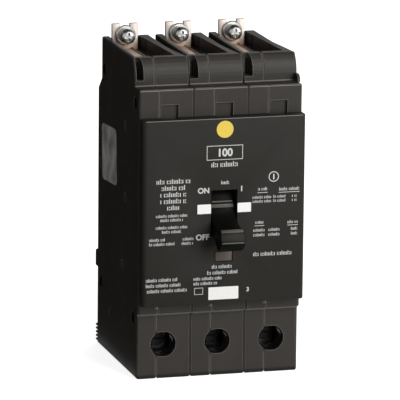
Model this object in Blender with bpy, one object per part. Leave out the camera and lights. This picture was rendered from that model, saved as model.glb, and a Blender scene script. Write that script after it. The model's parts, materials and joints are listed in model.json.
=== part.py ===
"""Three-pole molded case breaker with bolt-on line tabs. Metres, +Z up, front towards -Y.

Sizes along Y are measured from the front plate's face, and Z from the bottom. A datum empty
moves the whole part so that the middle of its depth lies at Y = 0.
"""

import math

import bmesh
import bpy
from mathutils import Matrix, Vector

# Pole modules
POLES = 3
POLE_PITCH = 0.0254
PARTING_OFFSET = 0.0095
SEAM = 0.0003
WALL = 0.0024
BODY_HEIGHT = 0.146
RIM_RADIUS = 0.0004
SIDE_RADIUS = 0.0011

# Side profile of a pole, front to rear
LUG_FRONT = 0.0093
LUG_TOP = 0.0304
LUG_WALL = 0.0027
BOTTOM_WALL = 0.0030
CASE_FRONT = 0.0065
LEDGE_DROP = 0.0125
LEDGE_HEIGHT = BODY_HEIGHT - LEDGE_DROP
UPPER_FRONT = 0.0150
ROLL_HEIGHT = 0.0090
ROLL_SETBACK = 0.0040
REAR_UPPER = 0.0740
STEP_TOP_DROP = 0.0190
STEP_TOP = BODY_HEIGHT - STEP_TOP_DROP
STEP_BOTTOM_DROP = 0.0245
STEP_BOTTOM = BODY_HEIGHT - STEP_BOTTOM_DROP
REAR = 0.0800
PAD_DEPTH = 0.0040
PAD_BOTTOM = 0.0360
PAD_TOP = 0.0440
CHAMBER_SHOULDER_DROP = 0.0155
CHAMBER_SHOULDER = LEDGE_HEIGHT - CHAMBER_SHOULDER_DROP

# Top of a pole
TROUGH_FLOOR_DROP = 0.0057
TROUGH_FLOOR = BODY_HEIGHT - TROUGH_FLOOR_DROP
TROUGH_FRONT = 0.0220
LEFT_RIB = 0.0022
REAR_BLOCK = 0.0035
REAR_BLOCK_LENGTH = 0.0080
TROUGH_FRONT_RIGHT = 0.0205
TROUGH_REAR_RIGHT = 0.0178
STRIP_OFFSET = 0.0220
STRIP_FRONT_DROP = 0.0004
STRIP_FRONT_HEIGHT = BODY_HEIGHT - STRIP_FRONT_DROP
STRIP_REAR_DROP = 0.0030
STRIP_REAR_HEIGHT = BODY_HEIGHT - STRIP_REAR_DROP
NOTCH_WIDTH = 0.0044
NOTCH_DEPTH = 0.0055
NOTCH_SIDE_WALL = 0.0010
NOTCH_FLOOR_DROP = 0.0098
NOTCH_FLOOR = BODY_HEIGHT - NOTCH_FLOOR_DROP
NOTCH_FLAT = 0.3

# Front plate and its snap windows
PLATE_BOTTOM_RISE = 0.0051
PLATE_BOTTOM = LUG_TOP + PLATE_BOTTOM_RISE
PLATE_TOP_DROP = 0.0253
PLATE_TOP = BODY_HEIGHT - PLATE_TOP_DROP
PLATE_WALL = 0.0024
PLATE_RADIUS = 0.0022
GAP = 0.0003
WINDOW_LEAD = 0.0006
WINDOW_WIDTH = 0.0082
WINDOW_TOP_RISE = 0.0057
WINDOW_TOP = PLATE_TOP + WINDOW_TOP_RISE
WINDOW_DEPTH = 0.0016
PLATE_NOTCH_TOP = 0.0020
PLATE_NOTCH_BOTTOM = 0.0008

# Handle
HANDLE_PIVOT_Y = 0.0200
HANDLE_PIVOT_DROP = 0.0687
HANDLE_PIVOT_Z = BODY_HEIGHT - HANDLE_PIVOT_DROP
HANDLE_THROW = 36.0
HANDLE_WIDTH = 0.0115
HANDLE_REACH = 0.036563
NOSE_LENGTH = 0.0043
NOSE_HEIGHT = 0.0102
NECK_PLACE = 0.0240
NECK_HEIGHT = 0.0060
ROOT_FILLET = 0.0015
HANDLE_ROOT = 0.0135
HANDLE_WEB = 0.0040
SKIRT_RADIUS = 0.0170
SKIRT_THICKNESS = 0.0020
SKIRT_HALF_ANGLE = 62.0
HUB_RADIUS = 0.0036
HANDLE_CLEARANCE = 0.0004
OPENING_HEIGHT = 0.0209
OPENING_RELIEF = 0.0042

# Pins and rivets
PIN_RADIUS = 0.0015
RIVET_RADIUS = 0.0016
RIVET_HEAD_RADIUS = 0.0028
RIVET_HEAD = 0.0009
RIVET_INSET = 0.0070
RIVET_UPPER_FRONT = (CASE_FRONT + RIVET_INSET, LEDGE_HEIGHT - RIVET_INSET)
RIVET_UPPER_REAR_LEAD = 0.0050
RIVET_UPPER_REAR_RISE = 0.0045
RIVET_UPPER_REAR = (REAR_UPPER - RIVET_UPPER_REAR_LEAD, STEP_TOP + RIVET_UPPER_REAR_RISE)
RIVET_LOWER_FRONT_SETBACK = 0.0062
RIVET_LOWER_FRONT_DROP = 0.0032
RIVET_LOWER_FRONT = (LUG_FRONT + RIVET_LOWER_FRONT_SETBACK, LUG_TOP - RIVET_LOWER_FRONT_DROP)
RIVET_LOWER_REAR_LEAD = 0.0065
RIVET_LOWER_REAR_RISE = 0.0006
RIVET_LOWER_REAR = (REAR - RIVET_LOWER_REAR_LEAD, LUG_TOP + RIVET_LOWER_REAR_RISE)

# Mechanism
MECHANISM_DROP = 0.0725
MECHANISM_Z = BODY_HEIGHT - MECHANISM_DROP
FRAME_THICKNESS = 0.0012
FRAME_INNER = 0.0073
FRAME_REAR = 0.0370
FRAME_BOTTOM_DROP = 0.0270
FRAME_BOTTOM = MECHANISM_Z - FRAME_BOTTOM_DROP
FRAME_TOP_RISE = 0.0200
FRAME_TOP = HANDLE_PIVOT_Z + FRAME_TOP_RISE
CRADLE_PIVOT_SETBACK = 0.0060
CRADLE_PIVOT_DROP = 0.0235
CRADLE_PIVOT = (HANDLE_PIVOT_Y + CRADLE_PIVOT_SETBACK, MECHANISM_Z - CRADLE_PIVOT_DROP)
CRADLE_LINK_SETBACK = 0.0170
CRADLE_LINK_DROP = 0.0155
CRADLE_LINK = (HANDLE_PIVOT_Y + CRADLE_LINK_SETBACK, MECHANISM_Z - CRADLE_LINK_DROP)
CRADLE_NOSE_SETBACK = 0.0215
CRADLE_NOSE_DROP = 0.0195
CRADLE_NOSE = (HANDLE_PIVOT_Y + CRADLE_NOSE_SETBACK, MECHANISM_Z - CRADLE_NOSE_DROP)
CRADLE_EYE = 0.0032
CRADLE_ARM = 0.0026
CRADLE_TIP = 0.0015
CRADLE_THICKNESS = 0.0012
LINK_START = 0.0016
LINK_GAP = 0.0004
LINK_THICKNESS = 0.0012
LINK_RADIUS = 0.0022
LINK_PIN = 0.0011
KNEE_SETBACK = 0.0141
KNEE_DROP = 0.0070
KNEE = (HANDLE_PIVOT_Y + KNEE_SETBACK, MECHANISM_Z - KNEE_DROP)
SPRING_RADIUS = 0.0015
SPRING_WIRE = 0.0004
SPRING_LENGTH = 0.0110
SPRING_TURNS = 7
SPRING_OFFSET = 0.0044

# Crossbar and contacts
CROSSBAR_SETBACK = 0.0260
CROSSBAR_Y = HANDLE_PIVOT_Y + CROSSBAR_SETBACK
CROSSBAR_RISE = 0.0065
CROSSBAR_Z = MECHANISM_Z + CROSSBAR_RISE
CROSSBAR_RADIUS = 0.0040
CONTACT_SWING = 20.0
ARM_WIDTH = 0.0050
ARM_THICKNESS = 0.0030
ARM_LENGTH = 0.0330
ARM_EYE = 0.0065
PAD_CONTACT = 0.0012
PAD_CONTACT_HEIGHT = 0.0050
CRANK_GAP = 0.0006
CRANK_WIDTH = 0.0020
CRANK_DROP = 0.0040
CRANK_REACH = 0.0080

# Line terminal
TAB_OFFSET = 0.0101
TAB_WIDTH = 0.0123
TAB_THICKNESS = 0.0016
TAB_STEP = 0.0003
TAB_TOP_RISE = 0.0064
TAB_TOP = BODY_HEIGHT + TAB_TOP_RISE
TAB_REAR = REAR_UPPER - WALL - GAP
LINE_SCREW_RISE = 0.0012
LINE_SCREW_Z = BODY_HEIGHT + LINE_SCREW_RISE
LINE_SCREW_RADIUS = 0.0020
LINE_HEAD_RADIUS = 0.0034
LINE_HEAD_LENGTH = 0.0059
LINE_SCREW_END_SETBACK = 0.0067
LINE_SCREW_END = TAB_REAR + LINE_SCREW_END_SETBACK
WASHER_RADIUS = 0.0046
WASHER_THICKNESS = 0.0013
SLOT_WIDTH = 0.0011
SLOT_DEPTH = 0.0014

# Arc chute
CHUTE_BOTTOM_RISE = 0.0025
CHUTE_BOTTOM = FRAME_TOP + CHUTE_BOTTOM_RISE
CHUTE_REAR_LEAD = 0.0160
CHUTE_REAR = CROSSBAR_Y - CHUTE_REAR_LEAD
CHUTE_PLATES = 6
CHUTE_PLATE = 0.0012
CHUTE_CHEEK = 0.0012

# Trip unit
TRIP_BAR_SETBACK = 0.0120
TRIP_BAR_Y = CROSSBAR_Y + TRIP_BAR_SETBACK
TRIP_BAR_DROP = 0.0200
TRIP_BAR_Z = CROSSBAR_Z - TRIP_BAR_DROP
TRIP_BAR_RADIUS = 0.0024
TRIP_FINGER = 0.0016
TRIP_FINGER_WIDTH = 0.0030
TRIP_FINGER_TOP_RISE = 0.0090
TRIP_FINGER_TOP = TRIP_BAR_Z + TRIP_FINGER_TOP_RISE
BIMETAL_FRONT_SETBACK = 0.0080
BIMETAL_FRONT = TRIP_BAR_Y + BIMETAL_FRONT_SETBACK
BIMETAL_THICKNESS = 0.0012
BIMETAL_WIDTH = 0.0080
BIMETAL_LAP = 0.0060
BIMETAL_TOP_RISE = 0.0120
BIMETAL_TOP = TRIP_BAR_Z + BIMETAL_TOP_RISE
MAGNET_WIDTH = 0.0152
MAGNET_THICKNESS = 0.0016
MAGNET_RISE = 0.0110
MAGNET_HEIGHT = 0.0160
MAGNET_BOTTOM = RIVET_LOWER_REAR[1] + MAGNET_RISE
MAGNET_TOP = MAGNET_BOTTOM + MAGNET_HEIGHT
MAGNET_FRONT_LEAD = 0.0020
MAGNET_FRONT = BIMETAL_FRONT - MAGNET_FRONT_LEAD
BRAID_RADIUS = 0.0016
BRAID_BOW = 0.75

# Trip button
BUTTON_WIDTH = 0.0078
BUTTON_BOTTOM_DROP = 0.0185
BUTTON_BOTTOM = MECHANISM_Z - BUTTON_BOTTOM_DROP
BUTTON_TOP_DROP = 0.0142
BUTTON_TOP = MECHANISM_Z - BUTTON_TOP_DROP
BUTTON_FACE = 0.0002
BUTTON_LENGTH = 0.0080
STEM_LEFT = -0.0056
STEM_WIDTH = 0.0022
STEM_BOTTOM_DROP = 0.0189
STEM_BOTTOM = MECHANISM_Z - STEM_BOTTOM_DROP
STEM_HEIGHT = 0.0022

# Load lug
ACCESS_RADIUS = 0.0060
ACCESS_FLAT = 0.0057
ACCESS_Z = 0.0157
SLEEVE_WALL = 0.0015
SLEEVE_END_SETBACK = 0.0107
SLEEVE_END = LUG_FRONT + SLEEVE_END_SETBACK
LUG_WIDTH = 0.0140
LUG_HEIGHT = 0.0210
LUG_START_SETBACK = 0.0100
LUG_START = SLEEVE_END + LUG_START_SETBACK
LUG_LENGTH = 0.0200
WIRE_RADIUS = 0.0050
WIRE_SETBACK = 0.0110
WIRE_Y = LUG_START + WIRE_SETBACK
WIRE_ENTRY_RADIUS = 0.0062
LUG_SCREW_RADIUS = 0.0040
LUG_SCREW_START_SETBACK = 0.0012
LUG_SCREW_START = SLEEVE_END + LUG_SCREW_START_SETBACK
LUG_SCREW_LENGTH = 0.0135
LOAD_STRAP_WIDTH = 0.0080
LOAD_STRAP_THICKNESS = 0.0016
LOAD_STRAP_RISE = 0.0154
LOAD_STRAP_FRONT_SETBACK = 0.0070
LOAD_STRAP_FRONT = LUG_START + LOAD_STRAP_FRONT_SETBACK

ROUND_STEPS = 24
PIN_STEPS = 16
LINK_PIN_STEPS = 12
ARC_STEPS = 6
OVERCUT = 0.0010

BODY_WIDTH = POLES * POLE_PITCH
HANDLE_REST = HANDLE_THROW / 2
HANDLE_PIVOT = (HANDLE_PIVOT_Y, HANDLE_PIVOT_Z)
CROSSBAR = (CROSSBAR_Y, CROSSBAR_Z)
TRIP_BAR = (TRIP_BAR_Y, TRIP_BAR_Z)
RIVET_PLACES = (RIVET_UPPER_FRONT, RIVET_UPPER_REAR, RIVET_LOWER_FRONT, RIVET_LOWER_REAR)
UPPER_LINK_START = LINK_START + LINK_THICKNESS + LINK_GAP
CRANK_START = UPPER_LINK_START + LINK_THICKNESS + CRANK_GAP
STRAP_DIVE = CROSSBAR_Y + ARM_THICKNESS / 2 + 2 * PAD_CONTACT + GAP

# Colour, roughness and metallic value of each finish
FINISHES = {
    "molded_case": ((0.030, 0.028, 0.026), 0.45, 0.0),
    "molded_plate": ((0.022, 0.022, 0.020), 0.50, 0.0),
    "handle_black": ((0.010, 0.010, 0.010), 0.28, 0.0),
    "button_grey": ((0.150, 0.130, 0.110), 0.50, 0.0),
    "insulator": ((0.080, 0.035, 0.020), 0.50, 0.0),
    "tinned_copper": ((0.620, 0.540, 0.500), 0.35, 1.0),
    "copper": ((0.720, 0.380, 0.240), 0.35, 1.0),
    "zinc_steel": ((0.560, 0.560, 0.540), 0.32, 1.0),
    "bare_steel": ((0.420, 0.420, 0.430), 0.40, 1.0),
    "black_steel": ((0.030, 0.030, 0.030), 0.35, 1.0),
    "aluminium": ((0.700, 0.700, 0.710), 0.38, 1.0),
}

for stale in list(bpy.data.objects):
    bpy.data.objects.remove(stale, do_unlink=True)


# Small modelling tools

def finish(name):
    """The named finish as a material, made once."""
    if name in bpy.data.materials:
        return bpy.data.materials[name]
    colour, roughness, metallic = FINISHES[name]
    material = bpy.data.materials.new(name)
    material.use_nodes = True
    shader = material.node_tree.nodes["Principled BSDF"]
    shader.inputs["Base Color"].default_value = (*colour, 1.0)
    shader.inputs["Roughness"].default_value = roughness
    shader.inputs["Metallic"].default_value = metallic
    return material


def solid(name, shape):
    """A new object from a bmesh, with its faces turned outwards."""
    bmesh.ops.recalc_face_normals(shape, faces=shape.faces)
    mesh = bpy.data.meshes.new(name)
    shape.to_mesh(mesh)
    shape.free()
    made = bpy.data.objects.new(name, mesh)
    bpy.context.scene.collection.objects.link(made)
    return made


def prism(name, outline, axis, low, high):
    """A flat outline pushed from low to high along an axis. Its points are the other two coordinates."""
    place = {
        "X": lambda a, b, along: (along, a, b),
        "Y": lambda a, b, along: (a, along, b),
        "Z": lambda a, b, along: (a, b, along),
    }[axis]
    shape = bmesh.new()
    base = shape.faces.new([shape.verts.new(place(a, b, low)) for a, b in outline])
    grown = bmesh.ops.extrude_face_region(shape, geom=[base])["geom"]
    step = Vector(place(0.0, 0.0, high)) - Vector(place(0.0, 0.0, low))
    bmesh.ops.translate(shape, verts=[v for v in grown if isinstance(v, bmesh.types.BMVert)], vec=step)
    return solid(name, shape)


def block(name, x, y, z):
    """A box from three (low, high) pairs."""
    outline = [(y[0], z[0]), (y[1], z[0]), (y[1], z[1]), (y[0], z[1])]
    return prism(name, outline, "X", x[0], x[1])


def circle(centre, radius, steps=ROUND_STEPS):
    """Points of a circle round a centre."""
    turns = [2 * math.pi * i / steps for i in range(steps)]
    return [(centre[0] + radius * math.cos(t), centre[1] + radius * math.sin(t)) for t in turns]


def arc(centre, radius, start, stop, steps=ARC_STEPS):
    """Points of an arc, ends included, with angles in radians from the outline's first axis."""
    turns = [start + (stop - start) * i / steps for i in range(steps + 1)]
    return [(centre[0] + radius * math.cos(t), centre[1] + radius * math.sin(t)) for t in turns]


def bow(start, bend, stop, steps=ARC_STEPS):
    """Points of a curve that leaves start towards bend and comes to stop, without start itself."""
    points = []
    for i in range(1, steps + 1):
        t = i / steps
        near = (1 - t) ** 2 * Vector(start) + 2 * t * (1 - t) * Vector(bend)
        points.append(tuple(near + t**2 * Vector(stop)))
    return points


def rod(name, axis, centre, radius, low, high, steps=ROUND_STEPS):
    """A round bar along an axis."""
    return prism(name, circle(centre, radius, steps), axis, low, high)


def bar_outline(first, first_radius, second, second_radius):
    """Two round ends and the straight sides that join them."""
    heading = math.atan2(second[1] - first[1], second[0] - first[0])
    span = math.hypot(second[0] - first[0], second[1] - first[1])
    lean = math.acos((first_radius - second_radius) / span)
    near = arc(first, first_radius, heading + lean, heading + 2 * math.pi - lean, 10)
    far = arc(second, second_radius, heading - lean, heading + lean, 8)
    return near + far


def combine(target, tool, operation):
    """Applies a Boolean of the tool to the target, and removes the tool."""
    change = target.modifiers.new(operation, "BOOLEAN")
    change.operation = operation
    change.solver = "EXACT"
    change.object = tool
    graph = bpy.context.evaluated_depsgraph_get()
    shaped = bpy.data.meshes.new_from_object(target.evaluated_get(graph))
    target.modifiers.remove(change)
    target.data = shaped
    bpy.data.objects.remove(tool, do_unlink=True)


def cut(target, tool):
    combine(target, tool, "DIFFERENCE")


def fuse(target, tool):
    combine(target, tool, "UNION")


def ease(target, axis, place, radius, steps):
    """Rounds every edge that lies in the plane where this axis equals place."""
    shape = bmesh.new()
    shape.from_mesh(target.data)
    edges = [e for e in shape.edges if all(abs(v.co[axis] - place) < SEAM / 100 for v in e.verts)]
    bmesh.ops.bevel(shape, geom=edges, offset=radius, segments=steps, profile=0.5, affect="EDGES")
    shape.to_mesh(target.data)
    shape.free()


def dress(target, surface):
    """Gives a finished piece its surface and shading."""
    target.data.name = target.name
    target.data.materials.clear()
    target.data.materials.append(finish(surface))
    target.data.shade_smooth()
    target.data.set_sharp_from_angle(angle=math.radians(35))
    target.parent = DATUM
    return target


def hinge_at(target, centre, degrees=0.0):
    """Moves a piece's origin to an axis along X through (y, z), and turns it there."""
    target.data.transform(Matrix.Translation((0.0, -centre[0], -centre[1])))
    target.location = (0.0, centre[0], centre[1])
    target.rotation_euler.x = math.radians(degrees)
    return target


def turned(point, centre, degrees):
    """A (y, z) point turned about an axis along X through a centre."""
    a = math.radians(degrees)
    y = point[0] - centre[0]
    z = point[1] - centre[1]
    return (centre[0] + y * math.cos(a) - z * math.sin(a), centre[1] + y * math.sin(a) + z * math.cos(a))


def pole_left(pole):
    return pole * POLE_PITCH - BODY_WIDTH / 2


def pole_middle(pole):
    return pole_left(pole) + POLE_PITCH / 2


def tab_middle(pole):
    return pole_left(pole) + TAB_OFFSET


# Handle outline, in the handle's own frame: pivot at the origin, lever towards -Y
def handle_outline():
    root_angle = math.asin(HANDLE_ROOT / 2 / SKIRT_RADIUS)
    reach = math.radians(SKIRT_HALF_ANGLE)
    upper_skirt = arc((0, 0), SKIRT_RADIUS, math.pi - reach, math.pi - root_angle)
    slim = NECK_HEIGHT / 2
    thick = NOSE_HEIGHT / 2
    nose_start = NOSE_LENGTH - HANDLE_REACH
    fillet = bow(upper_skirt[-1], (-SKIRT_RADIUS - ROOT_FILLET, slim), (-NECK_PLACE, slim))
    flare = bow((-NECK_PLACE, slim), ((nose_start - NECK_PLACE) / 2, slim), (nose_start, thick))
    quarter = arc((0, 0), 1.0, math.pi / 2, 0.0)[1:]
    nose = [(nose_start - NOSE_LENGTH * across, thick * up) for across, up in quarter]
    upper = upper_skirt + fillet + flare + nose
    lower = [(y, -z) for y, z in reversed(upper[:-1])]
    inner = arc((0, 0), SKIRT_RADIUS - SKIRT_THICKNESS, math.pi + reach, math.pi - reach, 2 * ARC_STEPS)
    return upper + lower + inner


# The handle points down at rest, which is OFF, and the part's depth runs from its tip to the rear pads
FRONT_REACH = HANDLE_PIVOT_Y + min(turned(p, (0, 0), HANDLE_REST)[0] for p in handle_outline())
DATUM = bpy.data.objects.new("datum", None)
DATUM.location = (0.0, -(FRONT_REACH + REAR + PAD_DEPTH) / 2, 0.0)
bpy.context.scene.collection.objects.link(DATUM)


# Pole shells
def pole_outline(with_pad):
    lean = 2 * math.atan2(ROLL_SETBACK, ROLL_HEIGHT)
    radius = ROLL_HEIGHT / math.sin(lean)
    roll = arc((UPPER_FRONT + radius, BODY_HEIGHT - ROLL_HEIGHT), radius, math.pi, math.pi - lean)
    front = [(LUG_FRONT, 0.0), (LUG_FRONT, LUG_TOP), (CASE_FRONT, LUG_TOP), (CASE_FRONT, LEDGE_HEIGHT)]
    shelf = [(UPPER_FRONT, LEDGE_HEIGHT)]
    rear = [(REAR_UPPER, BODY_HEIGHT), (REAR_UPPER, STEP_TOP), (REAR, STEP_BOTTOM)]
    far = REAR + PAD_DEPTH
    pad = [(REAR, PAD_TOP), (far, PAD_TOP), (far, PAD_BOTTOM), (REAR, PAD_BOTTOM)]
    return front + shelf + roll + rear + (pad if with_pad else []) + [(REAR, 0.0)]


def chamber_outline():
    front = CASE_FRONT + WALL
    upper = UPPER_FRONT + NOTCH_DEPTH + WALL
    lug = LUG_FRONT + LUG_WALL
    top = TROUGH_FLOOR - WALL
    rear_upper = REAR_UPPER - WALL
    rear = REAR - WALL
    lower = [(lug, BOTTOM_WALL), (lug, LUG_TOP), (front, LUG_TOP), (front, CHAMBER_SHOULDER)]
    above = [(upper, CHAMBER_SHOULDER), (upper, top), (rear_upper, top), (rear_upper, STEP_BOTTOM)]
    return lower + above + [(rear, STEP_BOTTOM - WALL), (rear, BOTTOM_WALL)]


def access_outline(middle, growth):
    """The access hole: a circle with its top and bottom cut flat."""
    radius = ACCESS_RADIUS + growth
    half = math.asin((ACCESS_FLAT + growth) / radius)
    right = arc((middle, ACCESS_Z), radius, -half, half, 2 * ARC_STEPS)
    return right + arc((middle, ACCESS_Z), radius, math.pi - half, math.pi + half, 2 * ARC_STEPS)


def pole_cutters(pole):
    """What is taken out of both halves of a pole."""
    left = pole_left(pole)
    middle = pole_middle(pole)
    right = left + POLE_PITCH
    rear = REAR_UPPER + OVERCUT
    high = BODY_HEIGHT + OVERCUT
    block_start = REAR_UPPER - REAR_BLOCK_LENGTH
    trough = [
        (left + LEFT_RIB, TROUGH_FRONT),
        (left + TROUGH_FRONT_RIGHT, TROUGH_FRONT),
        (left + TROUGH_REAR_RIGHT, rear),
        (left + REAR_BLOCK, rear),
        (left + REAR_BLOCK, block_start),
        (left + LEFT_RIB, block_start),
    ]
    yield prism("trough", trough, "Z", TROUGH_FLOOR, high)
    strip = [
        (TROUGH_FRONT - WALL, STRIP_FRONT_HEIGHT),
        (rear, STRIP_REAR_HEIGHT),
        (rear, high),
        (TROUGH_FRONT - WALL, high),
    ]
    yield prism("strip", strip, "X", left + STRIP_OFFSET, right + OVERCUT)
    strap = tab_middle(pole)
    reach = TAB_WIDTH / 2 + GAP
    tab = (TAB_REAR - TAB_THICKNESS - GAP, TAB_REAR + GAP)
    under = TROUGH_FLOOR - WALL - OVERCUT
    yield block("tab_slot", (strap - reach, strap + reach), tab, (under, TROUGH_FLOOR + OVERCUT))
    notch_face = UPPER_FRONT - OVERCUT
    round_part = NOTCH_WIDTH * (1 - NOTCH_FLAT)
    wall = arc((left + NOTCH_WIDTH * NOTCH_FLAT, UPPER_FRONT), round_part, 0.0, math.pi / 2)
    stretch = NOTCH_DEPTH / round_part
    curve = [(x, UPPER_FRONT + (y - UPPER_FRONT) * stretch) for x, y in wall]
    start = left + NOTCH_SIDE_WALL if pole == 0 else left - OVERCUT
    notch = [(start, notch_face), (left + NOTCH_WIDTH, notch_face)] + curve
    notch.append((start, UPPER_FRONT + NOTCH_DEPTH))
    yield prism("notch", notch, "Z", NOTCH_FLOOR, high)
    window = left + PARTING_OFFSET + WINDOW_LEAD
    window_depth = (CASE_FRONT - OVERCUT, CASE_FRONT + WINDOW_DEPTH)
    window_height = (PLATE_TOP - PLATE_NOTCH_TOP, WINDOW_TOP)
    yield block("window", (window, window + WINDOW_WIDTH), window_depth, window_height)
    yield prism("access", access_outline(middle, 0.0), "Y", LUG_FRONT - OVERCUT, SLEEVE_END + OVERCUT)
    yield rod("wire", "Z", (middle, WIRE_Y), WIRE_ENTRY_RADIUS, -OVERCUT, BOTTOM_WALL + OVERCUT)


def shared_cutters():
    """Holes that run across all the poles."""
    blind = BODY_WIDTH / 2 - WALL / 2
    yield rod("crossbar_hole", "X", CROSSBAR, CROSSBAR_RADIUS + GAP, -blind, blind)
    yield rod("trip_hole", "X", TRIP_BAR, TRIP_BAR_RADIUS + GAP, -blind, blind)
    side = BODY_WIDTH / 2
    for place in RIVET_PLACES:
        yield rod("rivet_hole", "X", place, RIVET_RADIUS + GAP, -side - OVERCUT, side + OVERCUT, PIN_STEPS)
        for end in (-side, side):
            sink = (end - RIVET_HEAD - GAP, end + RIVET_HEAD + GAP)
            yield rod("rivet_sink", "X", place, RIVET_HEAD_RADIUS + GAP, *sink)
    width = HANDLE_WIDTH / 2 + 2 * HANDLE_CLEARANCE
    low = STEM_BOTTOM - 2 * HANDLE_CLEARANCE
    high = HANDLE_PIVOT_Z + OPENING_HEIGHT / 2 + OPENING_RELIEF
    depth = (CASE_FRONT - OVERCUT, CASE_FRONT + WALL + OVERCUT)
    yield block("handle_gate", (-width, width), depth, (low, high))


def pole_half(name, pole, low, high, open_low):
    """One molded half shell from low to high in X, hollow towards the parting plane."""
    shell = prism(name, pole_outline(open_low is False), "X", low, high)
    edge = BODY_WIDTH / 2
    for place in (low, high):
        outer = abs(abs(place) - edge) < SEAM
        ease(shell, 0, place, SIDE_RADIUS if outer else RIM_RADIUS, 3 if outer else 1)
    inside = (low - OVERCUT, high - WALL) if open_low else (low + WALL, high + OVERCUT)
    cut(shell, prism("chamber", chamber_outline(), "X", *inside))
    ring = access_outline(pole_middle(pole), SLEEVE_WALL)
    sleeve = prism("sleeve", ring, "Y", LUG_FRONT + LUG_WALL / 2, SLEEVE_END)
    beyond = (high, high + POLE_PITCH) if high < pole_middle(pole) else (low - POLE_PITCH, low)
    cut(sleeve, block("other_half", beyond, (0.0, REAR), (0.0, BODY_HEIGHT)))
    fuse(shell, sleeve)
    for tool in list(pole_cutters(pole)) + list(shared_cutters()):
        cut(shell, tool)
    return dress(shell, "molded_case")


for pole in range(POLES):
    start = pole_left(pole) + SEAM / 2
    parting = pole_left(pole) + PARTING_OFFSET
    stop = pole_left(pole + 1) - SEAM / 2
    pole_half(f"pole_case_{pole + 1}", pole, start, parting - SEAM / 2, False)
    pole_half(f"pole_cover_{pole + 1}", pole, parting + SEAM / 2, stop, True)


# Front plate
def build_front_plate():
    half = BODY_WIDTH / 2 - SEAM / 2
    back = CASE_FRONT - GAP
    left = arc((-half + PLATE_RADIUS, PLATE_RADIUS), PLATE_RADIUS, math.pi, 1.5 * math.pi)
    right = arc((half - PLATE_RADIUS, PLATE_RADIUS), PLATE_RADIUS, 1.5 * math.pi, 2 * math.pi)
    outline = [(-half, back)] + left + right + [(half, back)]
    plate = prism("front_plate", outline, "Z", PLATE_BOTTOM, PLATE_TOP)
    for place in (PLATE_BOTTOM, PLATE_TOP):
        ease(plate, 2, place, RIM_RADIUS, 2)
    rim = WALL + PLATE_RADIUS / 2
    pocket = (-half + rim, half - rim)
    depth = (PLATE_WALL, back + OVERCUT)
    cut(plate, block("pocket", pocket, depth, (PLATE_BOTTOM + rim, PLATE_TOP - rim)))
    width = HANDLE_WIDTH / 2 + HANDLE_CLEARANCE
    height = (HANDLE_PIVOT_Z - OPENING_HEIGHT / 2, HANDLE_PIVOT_Z + OPENING_HEIGHT / 2)
    through = (-OVERCUT, PLATE_WALL + OVERCUT)
    cut(plate, block("opening", (-width, width), through, height))
    button = BUTTON_WIDTH / 2 + GAP
    cut(plate, block("button_hole", (-button, button), through, (BUTTON_BOTTOM - GAP, BUTTON_TOP + GAP)))
    for pole in range(POLES):
        window = pole_left(pole) + PARTING_OFFSET + WINDOW_LEAD
        across = (window, window + WINDOW_WIDTH)
        behind = (back / 2, back + OVERCUT)
        upper = (PLATE_TOP - PLATE_NOTCH_TOP, PLATE_TOP + OVERCUT)
        lower = (PLATE_BOTTOM - OVERCUT, PLATE_BOTTOM + PLATE_NOTCH_BOTTOM)
        for height in (upper, lower):
            cut(plate, block("notch", across, behind, height))
    dress(plate, "molded_plate")


build_front_plate()


# Handle and its pin
def build_handle():
    half = HANDLE_WIDTH / 2
    handle = prism("handle", handle_outline(), "X", -half, half)
    for place in (-half, half):
        ease(handle, 0, place, RIM_RADIUS, 2)
    web = HANDLE_WEB / 2
    inner = SKIRT_RADIUS - SKIRT_THICKNESS / 2
    fuse(handle, block("web", (-web, web), (-inner, 0.0), (-web, web)))
    fuse(handle, rod("hub", "X", (0.0, 0.0), HUB_RADIUS, -2 * web, 2 * web))
    cut(handle, rod("bore", "X", (0.0, 0.0), PIN_RADIUS + GAP, -half, half, PIN_STEPS))
    handle.location = (0.0, *HANDLE_PIVOT)
    handle.rotation_euler.x = math.radians(HANDLE_REST)
    dress(handle, "handle_black")
    reach = FRAME_INNER + FRAME_THICKNESS
    pin = rod("handle_pin", "X", (0.0, 0.0), PIN_RADIUS, -reach, reach, PIN_STEPS)
    pin.location = handle.location
    dress(pin, "bare_steel")


build_handle()


# Mechanism frame, cradle, links and spring
def build_frame():
    outer = FRAME_INNER + FRAME_THICKNESS
    front = CASE_FRONT + WALL + GAP
    frame = block("mechanism_frame", (-outer, outer), (front, FRAME_REAR), (FRAME_BOTTOM, FRAME_TOP))
    inside = (front - OVERCUT, FRAME_REAR + OVERCUT)
    under = (FRAME_BOTTOM - OVERCUT, FRAME_TOP - FRAME_THICKNESS)
    cut(frame, block("gap", (-FRAME_INNER, FRAME_INNER), inside, under))
    for place in (HANDLE_PIVOT, CRADLE_PIVOT):
        hole = PIN_RADIUS + GAP
        cut(frame, rod("pin_hole", "X", place, hole, -outer - OVERCUT, outer + OVERCUT, PIN_STEPS))
    dress(frame, "zinc_steel")
    pin = rod("cradle_pin", "X", CRADLE_PIVOT, PIN_RADIUS, -outer, outer, PIN_STEPS)
    dress(pin, "bare_steel")


def build_cradle():
    left = -CRADLE_THICKNESS
    cradle = prism("cradle", bar_outline(CRADLE_PIVOT, CRADLE_EYE, CRADLE_LINK, CRADLE_ARM), "X", left, 0.0)
    nose = bar_outline(CRADLE_LINK, CRADLE_ARM, CRADLE_NOSE, CRADLE_TIP)
    fuse(cradle, prism("nose", nose, "X", left, 0.0))
    cut(cradle, rod("bore", "X", CRADLE_PIVOT, PIN_RADIUS + GAP, left - OVERCUT, OVERCUT, PIN_STEPS))
    stub = LINK_START + LINK_THICKNESS
    fuse(cradle, rod("link_pin", "X", CRADLE_LINK, LINK_PIN, left / 2, stub, LINK_PIN_STEPS))
    dress(hinge_at(cradle, CRADLE_PIVOT), "bare_steel")


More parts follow.
